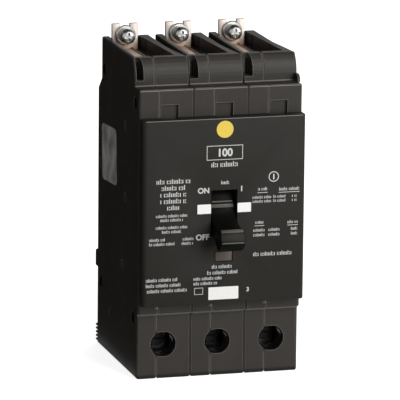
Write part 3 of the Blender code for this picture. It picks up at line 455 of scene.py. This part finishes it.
# %% [markdown]
# ## Handle
# The lever ends in a thick round nose with grip ribs across it, which show as bright bars. They could be
# separate strips, but on the real handle they are one molding with it, so the nose's own facets are raised:
# a facet is found by its angle round the nose, in the handle's own tilted frame. The tops of the raised
# ribs, on the nose and on the skirt, are given a paler grey, a painted highlight.

# %% Handle with grip ribs
swing = next(joint for joint in frame["record"]["behaviour"]["joints"] if joint["name"] == "handle_swing")
handle_tilt = Matrix.Rotation(math.radians(swing["range_deg"][1] / 2), 3, "X")
nose_middle = Vector((0.0, -0.03226, 0.0))
NOSE_HALF_HEIGHT, NOSE_REACH = 0.0051, 0.0043
SKIRT_OUTSIDE = 0.0162


def nose_angle(point):
    """Degrees above the lever's axis as seen from the middle of its nose, or None behind the nose."""
    place = handle_tilt.inverted() @ (point - Vector(swing["pos_m"])) - nose_middle
    if place.y >= 0.0:
        return None
    return math.degrees(math.atan2(place.z / NOSE_HALF_HEIGHT, -place.y / NOSE_REACH))


def on_rib(low, high):
    """A test for the nose facets between two angles, leaving out the flat ends."""
    def test(middle, normal):
        angle = nose_angle(middle)
        return angle is not None and low < angle < high and abs(normal.x) < 0.2
    return test


def on_skirt(low, high):
    """A test for the facets on the outside of the skirt between two angles round the pivot."""
    def test(middle, normal):
        place = handle_tilt.inverted() @ (middle - Vector(swing["pos_m"]))
        angle = math.degrees(math.atan2(place.z, -place.y))
        return low < angle < high and place.yz.length > SKIRT_OUTSIDE and abs(normal.x) < 0.2
    return test


def raise_bar(piece, test, margin, height):
    """Raises the facets that pass a test, and gives their tops the piece's second finish, a pale painted
    highlight.
    """
    open_faces(piece, test)
    bpy.ops.mesh.inset(thickness=margin, depth=height)
    bpy.ops.object.mode_set(mode="OBJECT")
    for polygon in piece.data.polygons:
        if polygon.select:
            polygon.material_index = 1


handle = merged_copy("handle")
handle.data.materials.clear()
for material in (handle_black, rubbed_grey, molded_plate):
    handle.data.materials.append(material)
# The raised tops get the second finish, a paler grey: a painted highlight on the ribs.
for low, high in ((58.0, 92.0), (-92.0, -58.0)):
    raise_bar(handle, on_rib(low, high), 0.00020, 0.00025)
raise_bar(handle, on_rib(0.5, 14.5), 0.00030, 0.00020)
palm = on_rib(15.5, 58.0)
for polygon in handle.data.polygons:
    if palm(polygon.center, polygon.normal):
        polygon.material_index = 2
raise_bar(handle, on_skirt(23.5, 29.7), 0.00015, 0.00012)
raise_bar(handle, on_skirt(29.9, 36.1), 0.00065, 0.00012)
close(handle, "ribbed_handle")
pick(handle)
bpy.ops.object.shade_smooth_by_angle(angle=math.radians(35.0))
put_on(handle, "handle")
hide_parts("handle")
print("handle with", len(handle.data.polygons), "faces")

# %% [markdown]
# ## Pole shells
# The six half shells are the body of the breaker. Their solids already have rounded rims, so a copy only
# gets what the tool leaves on the outer sides: round ejector marks, cut as shallow discs.

# %% Shells with ejector marks
def ejector_mark(side, y, z):
    """A short round cutter across an outer side of the case."""
    bpy.ops.object.select_all(action="DESELECT")
    place = (side, face + y, z)
    size = {"radius": MARK_RADIUS, "depth": 2 * MARK_DEPTH}
    bpy.ops.mesh.primitive_cylinder_add(vertices=32, location=place, **size)
    bpy.context.object.rotation_euler.y = math.pi / 2
    return close(bpy.context.object, "ejector_mark")


left_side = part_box("pole_case_1")[0].x
right_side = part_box("pole_cover_3")[1].x
MARK_RADIUS, MARK_DEPTH = 0.0022, 0.00035
marks = ((0.0349, 0.0477), (0.0740, 0.0873), (0.0300, 0.1130), (0.0300, 0.0800), (0.0560, 0.0200))
for node, side in (("pole_case_1", left_side), ("pole_cover_3", right_side)):
    shell = merged_copy(node)
    for y, z in marks:
        carve(shell, ejector_mark(side, y, z))
    stand_in(shell, node, 10.0)
print("two outer shells with", len(marks), "marks each")

# %% [markdown]
# ## Turned hardware
# The line screws are turned and plated: a domed head with a cross recess over a flange washer. The lug
# screws are slotted set screws with a coarse thread. A profile is drawn point by point in edit mode and
# spun round its axis, which is how a lathe makes it, and the recess is cut last.

# %% Lathe tools
def drawn(points):
    """A line of points: one vertex, extruded from place to place. It stays open for editing."""
    bpy.ops.object.select_all(action="DESELECT")
    bpy.ops.mesh.primitive_plane_add(size=0.001)
    bpy.ops.object.mode_set(mode="EDIT")
    bpy.ops.mesh.select_mode(type="VERT")
    bpy.ops.mesh.select_all(action="SELECT")
    bpy.ops.mesh.merge(type="CENTER")
    bpy.ops.transform.translate(value=points[0])
    for here, there in zip(points, points[1:]):
        step = Vector(there) - Vector(here)
        bpy.ops.mesh.extrude_vertices_move(TRANSFORM_OT_translate={"value": step})
    bpy.ops.mesh.select_all(action="SELECT")
    bpy.ops.mesh.remove_doubles(threshold=0.000001)
    return bpy.context.object


def turned(name, profile, middle, z):
    """Spins a profile of (radius, depth behind the plate's face) round an axis along Y."""
    piece = drawn([(radius, depth, 0.0) for radius, depth in profile])
    bpy.ops.mesh.spin(steps=40, angle=2 * math.pi, center=(0.0, 0.0, 0.0), axis=(0.0, 1.0, 0.0))
    bpy.ops.mesh.select_all(action="SELECT")
    bpy.ops.mesh.remove_doubles(threshold=0.000001)
    bpy.ops.mesh.normals_make_consistent(inside=False)
    bpy.ops.object.mode_set(mode="OBJECT")
    piece.location = (middle, face, z)
    return close(piece, name)


def strip(name, points, run, thickness, x):
    """A thin strip: a drawn line of (x, depth, z) points pulled along a run, and given a thickness."""
    piece = drawn(points)
    bpy.ops.mesh.extrude_edges_move(TRANSFORM_OT_translate={"value": run})
    bpy.ops.object.mode_set(mode="OBJECT")
    piece.location = (x, face, 0.0)
    close(piece, name)
    apply_modifier(piece, "SOLIDIFY", thickness=thickness, offset=0.0)
    return piece


def threaded(core, crest, start, stop, pitch):
    """Profile points of a thread's rings from start to stop."""
    turns = int((stop - start) / pitch)
    rings = [(start + i * pitch, start + (i + 0.5) * pitch) for i in range(turns)]
    points = [point for low, high in rings for point in ((core, low), (crest, high))]
    return points + [(core, start + turns * pitch)]


def middle_of(node):
    """The middle of a node's box."""
    low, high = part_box(node)
    return (low + high) / 2


PITCH = middle_of("lug_screw_2").x - middle_of("lug_screw_1").x


def repeat(piece, name, shift):
    """The same shape again with its own mesh, moved along X."""
    twin = bpy.data.objects.new(name, piece.data.copy())
    bpy.context.scene.collection.objects.link(twin)
    twin.location.x = shift
    return close(twin, name)


def repeat_on_poles(piece, node):
    """Puts a piece made for the first pole in the place of a node of all three."""
    for pole in range(1, 4):
        twin = piece if pole == 1 else repeat(piece, piece.name[:-1] + str(pole), (pole - 1) * PITCH)
        stand_in(twin, node + str(pole))


def on_each_pole(piece, pattern, node, material=None, poles=3):
    """Copies a piece made for the first pole to the others, and sends each along with its pole's node."""
    if material is not None:
        dress(piece, material)
    for pole in range(1, poles + 1):
        twin = piece if pole == 1 else repeat(piece, pattern.format(pole), (pole - 1) * PITCH)
        put_on(twin, node + str(pole))


print("lathe ready, poles", round(PITCH, 5), "apart")

# %% Line screws and washers
def depths(node):
    """Front and rear of a node, behind the plate's face."""
    low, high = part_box(node)
    return low.y - face, high.y - face


HEAD_RADIUS, SHANK_RADIUS = 0.0034, 0.0020
WASHER_HOLE, WASHER_RIM = 0.0023, 0.0046
screw_middle = middle_of("line_screw_1")
head_front, screw_end = depths("line_screw_1")
washer_front, washer_rear = depths("line_washer_1")
head_rear = washer_front - 0.0003
head = [(0.0, head_front), (0.0018, head_front + 0.0001), (0.0027, head_front + 0.0005)]
head += [(0.0032, head_front + 0.0012), (HEAD_RADIUS, head_front + 0.0022)]
head += [(HEAD_RADIUS, head_rear), (SHANK_RADIUS, head_rear)]
shank = [(SHANK_RADIUS, washer_rear + 0.0002)]
shank += threaded(0.0016, SHANK_RADIUS, washer_rear + 0.0004, screw_end - 0.0004, 0.0008)
shank += [(0.0012, screw_end), (0.0, screw_end)]
line_screw = turned("turned_line_screw_1", head + shank, screw_middle.x, screw_middle.z)
recess_depth = (face + head_front - 0.001, face + head_front + 0.0016)
for half_width, half_height in ((0.0022, 0.00055), (0.00055, 0.0022)):
    low = (screw_middle.x - half_width, recess_depth[0], screw_middle.z - half_height)
    high = (screw_middle.x + half_width, recess_depth[1], screw_middle.z + half_height)
    carve(line_screw, box_tool(low, high))
repeat_on_poles(line_screw, "line_screw_")
rim = [(WASHER_HOLE, washer_front), (0.0043, washer_front), (WASHER_RIM, washer_front + 0.0003)]
rim += [(WASHER_RIM, washer_rear - 0.0003), (0.0044, washer_rear), (WASHER_HOLE, washer_rear), rim[0]]
line_washer = turned("turned_line_washer_1", rim, screw_middle.x, screw_middle.z)
repeat_on_poles(line_washer, "line_washer_")
print("line screws and washers")

# %% Lug screws
screw_middle = middle_of("lug_screw_1")
front, rear = depths("lug_screw_1")
profile = [(0.0, front), (0.0034, front), (0.0038, front + 0.0005)]
profile += threaded(0.0035, 0.0040, front + 0.0010, rear - 0.0012, 0.0012)
profile += [(0.0026, rear), (0.0, rear)]
lug_screw = turned("turned_lug_screw_1", profile, screw_middle.x, screw_middle.z)
low = (screw_middle.x - 0.006, face + front - 0.001, screw_middle.z - 0.00055)
high = (screw_middle.x + 0.006, face + front + 0.0014, screw_middle.z + 0.00055)
carve(lug_screw, box_tool(low, high))
repeat_on_poles(lug_screw, "lug_screw_")
print("lug screws")

# %% [markdown]
# ## Funnels and vents
# The holes over the lug screws narrow in a smooth funnel, and each vent in the top roll has a smooth curved
# wall. These walls are glossy, so they shine where the outside is grained. Their near black, darker than the
# case, is a painted shade deep in the holes and vents. A pale patch on the upper right of each funnel's
# inner wall is a painted glint. The shells could be cut again, but a drawn line that is spun or pulled into
# a thin wall leaves them as they are. Each piece is made once, on the first pole, and copied to the others.

# %% Funnels in the access holes
LUG_FRONT, CASE_FRONT, UPPER_FRONT = 0.0093, 0.0065, 0.0150
RIM, THROAT = 0.0056, 0.0052
hole = middle_of("lug_screw_1")
bell = [(RIM, LUG_FRONT + 0.0006), (0.00525, LUG_FRONT + 0.0012), (0.00522, LUG_FRONT + 0.0026)]
bell += [(THROAT, LUG_FRONT + 0.0062), (RIM, LUG_FRONT + 0.0062), bell[0]]
funnel = turned("access_funnel_1", bell, hole.x, hole.z)
# The funnel's near black is a painted shade deep in the hole.
funnel.data.materials.append(polished_black)
funnel.data.materials.append(bright_wear)
# A pale patch on the upper right of the funnel's inner wall is a painted glint.
for polygon in funnel.data.polygons:
    place = polygon.center - hole
    upper_right = 44.0 < math.degrees(math.atan2(place.x, place.z)) < 73.0
    polygon.material_index = int(upper_right and place.xz.length < RIM - 0.0002)
on_each_pole(funnel, "access_funnel_{}", "pole_cover_")
print("funnels with", len(funnel.data.polygons), "faces")

# %% Vent walls
curve = [math.radians(25.0 + 5.0 * i) for i in range(14)]
wall = [(0.00132 + 0.00298 * math.cos(t), UPPER_FRONT + 0.0054 * math.sin(t), 0.1363) for t in curve]
vent = strip("vent_wall_1", wall, (0.0, 0.0, 0.0075), 0.0001, left_side)
# The vent wall's near black is a painted shade inside the vent.
on_each_pole(vent, "vent_wall_{}", "pole_case_", polished_black)
print("vent walls")

# %% [markdown]
# ## Seams, a painted shadow line and painted highlight lines
# Where two halves of a mold meet, a thin flash stands in the seam. In the partings it is painted pale, as
# the highlight along the seam. Over the lugs the case steps back, and a near-black strip under the step is a
# painted shadow. A small nub is left where the plastic was let into the tool.
# The edges of the ledge and the plate carry pale lines, painted highlights. A material could draw these, but
# a thin strip follows the corners of the case exactly, and it is in the exported mesh too.

# %% Flash in the seams
SUNK = 0.00012
HALF = 0.00022
TOP, LEDGE, LUG_TOP = 0.1460, 0.1335, 0.0304
ROLL_HEIGHT, ROLL_SETBACK = 0.0090, 0.0040
lean = 2 * math.atan2(ROLL_SETBACK, ROLL_HEIGHT)
bend = ROLL_HEIGHT / math.sin(lean)
steps = [lean * i / 6 for i in range(7)]
roll_up = [(bend - (bend - SUNK) * math.cos(t), (bend - SUNK) * math.sin(t)) for t in steps]
sunk_case, sunk_upper, sunk_lug = CASE_FRONT + SUNK, UPPER_FRONT + SUNK, LUG_FRONT + SUNK
upper = [(sunk_case, LUG_TOP + 0.0004), (sunk_case, LEDGE - SUNK), (sunk_upper, LEDGE - SUNK)]
over_roll = [(UPPER_FRONT + y, TOP - ROLL_HEIGHT + z) for y, z in roll_up]
below = [(sunk_lug, 0.0005), (sunk_lug, 0.0096)]
above = [(sunk_lug, 0.0218), (sunk_lug, LUG_TOP - 0.0002)]


def flash(name, path, x):
    """A strip of flash along (depth, height) points in the seam at x."""
    return strip(name, [(-HALF, y, z) for y, z in path], (2 * HALF, 0.0, 0.0), 0.0001, x)


parting = (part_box("pole_case_1")[1].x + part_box("pole_cover_1")[0].x) / 2
# The pale of the parting strips is a painted highlight along each parting.
for number, path in enumerate((below, above, upper + over_roll)):
    pattern = f"parting_flash_{{}}_{number}"
    on_each_pole(flash(pattern.format(1), path, parting), pattern, "pole_case_", flash_grey)
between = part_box("pole_cover_1")[1].x + 0.00015
for number, path in enumerate(([below[0], above[1]], upper)):
    pattern = f"pole_flash_{{}}_{number}"
    on_each_pole(flash(pattern.format(1), path, between), pattern, "pole_cover_", seam_black, 2)
print("flash in three partings and between the poles")

# %% Painted shadow line over the lugs, and gate marks
THIN = 0.00006


def cross_line(name, depth, z, height):
    """A thin strip across the first pole at a depth, from a height z downwards."""
    line = [(0.0004, depth, z), (PITCH - 0.0006, depth, z)]
    return strip(name, line, (0.0, 0.0, -height), THIN, left_side)


# Painted shadow: a near-black strip just under the overhang, over the lugs.
gap = cross_line("lug_gap_1", LUG_FRONT - 0.00002, LUG_TOP - 0.0001, 0.0011)
on_each_pole(gap, "lug_gap_{}", "pole_case_", polished_black)
nub = [(0.0, CASE_FRONT - 0.00015), (0.0005, CASE_FRONT - 0.00010), (0.0008, CASE_FRONT + 0.0001)]
nub.append((0.0, CASE_FRONT + 0.0001))
gate = turned("gate_mark_1", nub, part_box("pole_case_1")[1].x - 0.0009, 0.0333)
# The gate marks take the same pale grey as the painted highlights on the handle.
on_each_pole(gate, "gate_mark_{}", "pole_case_", rubbed_grey)
print("gaps and gate marks")

# %% Painted highlight lines along the ledge and the plate
PROUD = 0.00001
plate_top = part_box("front_plate")[1].z
# Pale lines along the ledge's edges are painted highlights.
for number, (depth, z) in enumerate(((CASE_FRONT, LEDGE - 0.0004), (UPPER_FRONT, LEDGE + 0.0005))):
    pattern = f"ledge_rub_{{}}_{number}"
    highlight_line = cross_line(pattern.format(1), depth - PROUD, z, 0.00035)
    on_each_pole(highlight_line, pattern, "pole_case_", rub_grey)
# A pale line along the plate's top edge is a painted highlight.
line = [(side * 0.0365, -PROUD, plate_top - 0.0002) for side in (-1, 1)]
plate_rub = strip("plate_rub", line, (0.0, 0.0, -0.0003), THIN, 0.0)
put_on(dress(plate_rub, rub_grey), "front_plate")
print("rubbed lines, plate top at", round(plate_top, 5))

# %% [markdown]
# ## Troughs and foot ribs
# On top, a lip closes each trough beside its tab, and a copper strap shows on the trough's floor. At the
# foot of the rear, five small ribs run across each pole. A lip or strap is a drawn line pulled into a
# strip, and an Array modifier repeats one rib, so that all five stay alike.

# %% Lips and straps in the troughs
trough_floor = TOP - 0.0057
lip_foot = trough_floor - 0.0002
lip_line = [(0.01902, 0.0620, lip_foot), (0.01715, 0.0737, lip_foot)]
lip = strip("trough_lip_1", lip_line, (0.0, 0.0, 0.0058), 0.0012, left_side)
apply_modifier(lip, "BEVEL", width=0.0003, segments=2, limit_method="ANGLE")
on_each_pole(lip, "trough_lip_{}", "pole_case_", molded_case)
channel = [(-0.0032, 0.0694, trough_floor + 0.0011), (-0.0029, 0.0694, trough_floor + 0.0003)]
channel += [(-x, y, z) for x, y, z in reversed(channel)]
lead = strip("strap_lead_1", channel, (0.0, -0.0473, 0.0), 0.0004, middle_of("line_terminal_1").x)
on_each_pole(lead, "strap_lead_{}", "line_terminal_", tinned_copper)
print("lips and straps")

# %% Ribs at the foot of the rear
RIB_PITCH = 0.00175
low = (left_side + 0.00003, face + 0.0799, 0.0010)
high = (left_side + 0.0240, face + 0.0822, 0.0019)
rib = box_tool(low, high)
apply_modifier(rib, "BEVEL", width=0.0002, segments=2, limit_method="ANGLE")
settings = {"use_relative_offset": False, "use_constant_offset": True}
apply_modifier(rib, "ARRAY", count=5, constant_offset_displace=(0.0, 0.0, RIB_PITCH), **settings)
close(rib, "foot_ribs_1")
on_each_pole(rib, "foot_ribs_{}", "pole_case_", molded_case)
print("foot ribs")

# %% [markdown]
# ## Printing on the plate
# The front carries white printing in columns. Here it is generic: rows of plain ticks, ON, OFF and plain
# numbers. Text objects could fill the rows, but ticks say nothing. A row is a flat grid with every other
# column deleted, stood up against the plate and given the thickness of a coat of ink.

# %% Printing tools
INK = 0.00003
FILM = 0.00001


def lay(piece, name, x, z, thickness=INK):
    """Stands a flat piece up against the plate at (x, z), and gives it a film's thickness."""
    close(piece, name)
    piece.rotation_euler.x = math.pi / 2
    piece.location = (x, face - FILM - thickness, z)
    close(piece, name)
    apply_modifier(piece, "SOLIDIFY", thickness=thickness, offset=-1.0)
    return piece


def flat(width, height, columns=1, rows=1):
    """A flat grid round the origin."""
    bpy.ops.object.select_all(action="DESELECT")
    bpy.ops.mesh.primitive_grid_add(size=1.0, x_subdivisions=columns, y_subdivisions=rows)
    piece = bpy.context.object
    piece.scale = (width, height, 1.0)
    return close(piece, "flat")


def ticks(name, left, base, width, height):
    """A row of fine printed ticks of mixed heights, with gaps as between words."""
    strokes = max(3, round(width / (0.36 * height)))
    columns = 2 * strokes - 1
    piece = flat(width, height, columns, 4)

    def gap(middle, normal):
        column = int((middle.x + width / 2) * columns / width)
        row = int((middle.y + height / 2) * 4 / height)
        kind = (column // 2 * 7 + strokes) % 11
        short = row == 3 and kind not in (1, 6)
        broken = row == 1 and kind in (3, 8)
        return column % 2 == 1 or kind == 0 or short or broken

    open_faces(piece, gap)
    bpy.ops.mesh.delete(type="FACE")
    bpy.ops.object.mode_set(mode="OBJECT")
    return lay(piece, name, left + width / 2, base + height / 2)


def frame_box(name, width, height, line, x, z):
    """A printed outline."""
    piece = flat(width, height)
    open_faces(piece, lambda middle, normal: True)
    bpy.ops.mesh.inset(thickness=line)
    bpy.ops.mesh.delete(type="FACE")
    bpy.ops.object.mode_set(mode="OBJECT")
    return lay(piece, name, x, z)


def patch(name, width, height, corner, x, z, thickness=INK):
    """A filled printed area or label with rounded corners."""
    piece = flat(width, height)
    open_faces(piece, lambda middle, normal: True)
    bpy.ops.mesh.bevel(offset=corner, segments=4, affect="VERTICES")
    bpy.ops.object.mode_set(mode="OBJECT")
    return lay(piece, name, x, z, thickness)


def words(name, text, x, base, height):
    """Generic words or numbers, made a mesh."""
    bpy.ops.object.select_all(action="DESELECT")
    bpy.ops.object.text_add()
    piece = bpy.context.object
    piece.data.body = text
    piece.data.size = height / 0.70
    piece.data.align_x = "CENTER"
    piece.data.offset = 0.045 * height
    bpy.ops.object.convert(target="MESH")
    return lay(bpy.context.object, name, x, base)


def disc(name, radius, line, x, z):
    """A printed round dot, or a ring where line is given."""
    bpy.ops.object.select_all(action="DESELECT")
    bpy.ops.mesh.primitive_circle_add(vertices=40, radius=radius, fill_type="NGON")
    piece = bpy.context.object
    open_faces(piece, lambda middle, normal: True)
    bpy.ops.mesh.inset(thickness=line or radius / 3)
    if line:
        bpy.ops.mesh.delete(type="FACE")
    bpy.ops.object.mode_set(mode="OBJECT")
    return lay(piece, name, x, z)


def join(pieces, name, material):
    """Joins printed pieces into one layer on the plate."""
    bpy.ops.object.select_all(action="DESELECT")
    for piece in pieces:
        piece.select_set(True)
    bpy.context.view_layer.objects.active = pieces[0]
    bpy.ops.object.join()
    layer = close(pieces[0], name)
    dress(layer, material, 20.0)
    return put_on(layer, "front_plate")


print("printing tools ready")

# %% Rows of ticks
mm = 0.001
rows = []


def column(left, first, pitch, widths, height):
    """Rows of ticks below each other: left edge, first base line, line pitch, widths, all in mm."""
    for number, width in enumerate(widths):
        base = first - number * pitch
        rows.append(ticks("row", left * mm, base * mm, width * mm, height * mm))


def centred(middle, first, pitch, widths, height):
    """Rows of ticks centred on a line."""
    for number, width in enumerate(widths):
        column(middle - width / 2, first - number * pitch, pitch, [width], height)


centred(0.3, 98.4, 1.0, [13.0], 2.3)
centred(-23.8, 91.7, 3.0, [15.6, 10.8, 11.9, 11.9, 5.5], 2.2)
centred(-24.5, 76.4, 1.9, [14.4, 10.4], 1.4)
centred(-24.5, 71.1, 2.0, [14.5, 8.8], 1.4)
column(-34.8, 65.6, 2.0, [7.2, 11.7], 1.4)
column(-19.7, 65.5, 2.0, [5.4, 5.2], 1.4)
column(-36.2, 47.0, 2.5, [14.5, 16.1, 19.0], 1.6)
centred(-0.6, 51.8, 2.7, [9.8, 14.0], 1.7)
column(-14.0, 46.7, 2.2, [13.0, 10.9], 1.5)
centred(17.8, 86.7, 1.0, [4.2], 1.5)
centred(30.3, 86.2, 1.0, [9.4], 1.5)
for left, width in ((13.2, 8.6), (22.9, 5.6), (31.7, 2.1)):
    column(left, 83.0, 1.9, [width, width], 1.3)
centred(16.5, 71.4, 1.0, [3.6], 1.4)
centred(32.1, 70.9, 1.0, [4.7], 1.4)
for left, width in ((13.2, 5.7), (20.3, 5.6), (31.4, 2.9)):
    column(left, 67.8, 2.2, [width, width], 1.4)
centred(23.1, 56.5, 1.0, [18.6], 1.9)
centred(0.3, 90.4, 1.0, [3.6], 1.6)
print(len(rows), "rows of ticks")

# %% Words, outlines and marks
marks_on_plate = [words("number", "100", 0.0, 103.3 * mm, 3.4 * mm)]
marks_on_plate.append(words("on", "ON", -9.7 * mm, 86.7 * mm, 2.4 * mm))
marks_on_plate.append(words("stroke", "I", 8.0 * mm, 86.9 * mm, 2.4 * mm))
marks_on_plate.append(words("off", "OFF", -10.0 * mm, 65.3 * mm, 2.5 * mm))
marks_on_plate.append(words("pole_number", "3", 11.4 * mm, 40.5 * mm, 1.9 * mm))
marks_on_plate.append(frame_box("rating_frame", 16.8 * mm, 6.6 * mm, 0.28 * mm, 0.0, 104.9 * mm))
marks_on_plate.append(frame_box("small_frame", 4.1 * mm, 3.1 * mm, 0.22 * mm, -11.6 * mm, 41.7 * mm))
for x, z, width in ((17.8, 85.7, 4.8), (30.3, 85.4, 9.8), (16.5, 70.5, 4.5), (32.1, 70.1, 5.0)):
    marks_on_plate.append(patch("underline", width * mm, 0.25 * mm, 0.05 * mm, x * mm, z * mm))
marks_on_plate.append(disc("icon_ring", 2.4 * mm, 0.4 * mm, 23.0 * mm, 92.8 * mm))
marks_on_plate.append(patch("icon_bar", 0.6 * mm, 2.6 * mm, 0.1 * mm, 23.0 * mm, 92.8 * mm))
flags = [patch("flag", 6.3 * mm, 4.3 * mm, 0.15 * mm, side * 9.35 * mm, 79.35 * mm) for side in (-1, 1)]
join(flags, "position_flags", flag_white)
print_layer = join(rows + marks_on_plate, "plate_print", ink_white)
print("print has", len(print_layer.data.polygons), "faces")

# %% Yellow dot and blank label
join([disc("dot", 3.9 * mm, None, 0.0, 115.5 * mm)], "yellow_dot", ink_yellow)
blank = patch("blank", 14.0 * mm, 5.8 * mm, 0.3 * mm, 0.0, 40.3 * mm, 2 * INK)
join([blank], "blank_label", label_paper)
print("dot and label")

# %% [markdown]
# ## Foil label on the left side
# A square of blank foil is stuck a little askew on the left side. Its corners are rounded with a vertex
# bevel, and it is turned in its own plane first, so that the second turn stands it up square.

# %% Foil label
FOIL_SIDE, FOIL_FILM = 0.026, 0.00008
label = flat(FOIL_SIDE, FOIL_SIDE)
open_faces(label, lambda middle, normal: True)
bpy.ops.mesh.bevel(offset=0.0030, segments=6, affect="VERTICES")
bpy.ops.object.mode_set(mode="OBJECT")
label.rotation_euler.z = math.radians(3.5)
close(label, "foil_label")
label.rotation_euler.y = -math.pi / 2
label.location = (left_side - FILM - FOIL_FILM, face + 0.0588, 0.0940)
close(label, "foil_label")
apply_modifier(label, "SOLIDIFY", thickness=FOIL_FILM, offset=-1.0)
dress(label, foil, 20.0)
put_on(label, "pole_case_1")
print("foil label on the left side")

# %% [markdown]
# ## Gusset on the ledge
# A small gusset stands on the ledge at the right outer edge. It starts as a box, and its upper front
# edge is beveled right down to make the slope.

# %% Gusset
low = (right_side - 0.0012, face + 0.0098, LEDGE)
high = (right_side - 0.0001, face + 0.0152, LEDGE + 0.0034)
gusset = box_tool(low, high)
pick(gusset)
bpy.ops.object.mode_set(mode="EDIT")
bpy.ops.mesh.select_mode(type="EDGE")
bpy.ops.mesh.select_all(action="DESELECT")
bpy.ops.object.mode_set(mode="OBJECT")
for edge in gusset.data.edges:
    ends = [gusset.data.vertices[i].co for i in edge.vertices]
    edge.select = all(end.y < face + 0.0099 and end.z > LEDGE + 0.003 for end in ends)
bpy.ops.object.mode_set(mode="EDIT")
bpy.ops.mesh.bevel(offset=0.0028, segments=3)
close(gusset, "ledge_gusset")
dress(gusset, molded_case)
put_on(gusset, "pole_cover_3")
print("gusset")

# %% [markdown]
# ## Floor, light and camera
# The product stands on white with soft light from the front right. The world is white to the camera and
# to reflections, and dimmer as a light, so that black molding stays black. Three dark cards, at the left,
# behind and overhead, are seen only in reflections: a photographer uses such cards to keep black deep.

# %% Floor and dark cards
bpy.ops.object.select_all(action="DESELECT")
bpy.ops.mesh.primitive_plane_add(size=6.0, location=(0.0, 0.0, -0.0002))
floor = close(bpy.context.object, "floor")
paper = Surface("floor_paper")
paper.feed(Base_Color=(0.85, 0.85, 0.85, 1.0), Roughness=0.9, Specular_IOR_Level=0.0)
to_camera = paper.add("ShaderNodeLightPath", {}, {}, "Is Camera Ray")
to_gloss = paper.add("ShaderNodeLightPath", {}, {}, "Is Glossy Ray")
seen = to_camera + to_gloss * 0.4
glow = paper.add("ShaderNodeEmission", {}, {"Color": (1.0, 1.0, 1.0, 1.0), "Strength": seen * 0.85}, 0)
both = paper.add("ShaderNodeAddShader", {}, {}, 0)
paper.tree.links.new(paper.shader.outputs[0], both.socket.node.inputs[0])
paper.tree.links.new(glow.socket, both.socket.node.inputs[1])
paper.tree.links.new(both.socket, paper.tree.nodes["Material Output"].inputs["Surface"])
floor.data.materials.append(paper.material)
velvet = Surface("dark_card")
velvet.feed(Base_Color=(0.004, 0.004, 0.004, 1.0), Roughness=1.0, Specular_IOR_Level=0.0)


def dark_card(name, low, high):
    """A black card that only reflections see."""
    card = close(box_tool(low, high), name)
    card.data.materials.append(velvet.material)
    card.visible_camera = False
    card.visible_diffuse = False
    card.visible_shadow = False
    card.visible_transmission = False


dark_card("left_card", (-3.0, -1.0, 0.0001), (left_side - 0.004, 2.9, 0.0003))
dark_card("rear_card", (-2.0, 0.45, 0.0005), (1.5, 0.46, 1.3))
dark_card("ceiling_card", (-2.5, -2.0, 2.30), (2.5, 2.6, 2.31))
print("floor and cards")

# %% World
AS_A_LIGHT = 0.14
world = bpy.data.worlds.new("studio")
bpy.context.scene.world = world
world.use_nodes = True
sky = Wiring(world.node_tree)
to_camera = sky.add("ShaderNodeLightPath", {}, {}, "Is Camera Ray")
to_gloss = sky.add("ShaderNodeLightPath", {}, {}, "Is Glossy Ray")
level = (to_camera + to_gloss) * (1.0 - AS_A_LIGHT) + AS_A_LIGHT
background = world.node_tree.nodes["Background"]
background.inputs["Color"].default_value = (1.0, 1.0, 1.0, 1.0)
world.node_tree.links.new(level.socket, background.inputs["Strength"])
print("world seen at 1, and lit at", AS_A_LIGHT)

# %% Lamps
def softbox(name, place, aim, size, power):
    """A square lamp at a place, turned towards an aim point."""
    bpy.ops.object.select_all(action="DESELECT")
    turn = (Vector(aim) - Vector(place)).to_track_quat("-Z", "Y").to_euler()
    bpy.ops.object.light_add(type="AREA", location=place, rotation=turn)
    lamp = bpy.context.object
    lamp.name = name
    lamp.data.size = size
    lamp.data.energy = power
    return lamp


centre = (0.0, 0.0, 0.08)
softbox("key", (1.35, -2.2, 0.7), centre, 1.6, 52.0)
softbox("front_top", (0.7, -1.9, 1.5), centre, 0.8, 22.0)
softbox("rear_fill", (1.0, 1.9, 1.2), centre, 1.2, 14.0)
print("three softboxes")

# %% Camera
yaw, pitch, roll = 0.277, 0.216, -0.010
forward = Vector((math.sin(yaw) * math.cos(pitch), math.cos(yaw) * math.cos(pitch), -math.sin(pitch)))
across = Vector((math.cos(yaw), -math.sin(yaw), 0.0))
down = forward.cross(across)
right = math.cos(roll) * across + math.sin(roll) * down
up = math.sin(roll) * across - math.cos(roll) * down
place = Vector((-0.564179, face - 1.944429, 0.527847))
bpy.ops.object.select_all(action="DESELECT")
bpy.ops.object.camera_add()
camera = bpy.context.object
axes = Matrix((right, up, -forward)).transposed().to_4x4()
camera.matrix_world = Matrix.Translation(place) @ axes
camera.data.sensor_width = 36.0
camera.data.lens = 416.1
camera.data.shift_y = -0.0031
camera.data.clip_end = 20.0
bpy.context.scene.camera = camera
bpy.context.scene.view_settings.view_transform = "Standard"
print("camera at", [round(v, 4) for v in place])
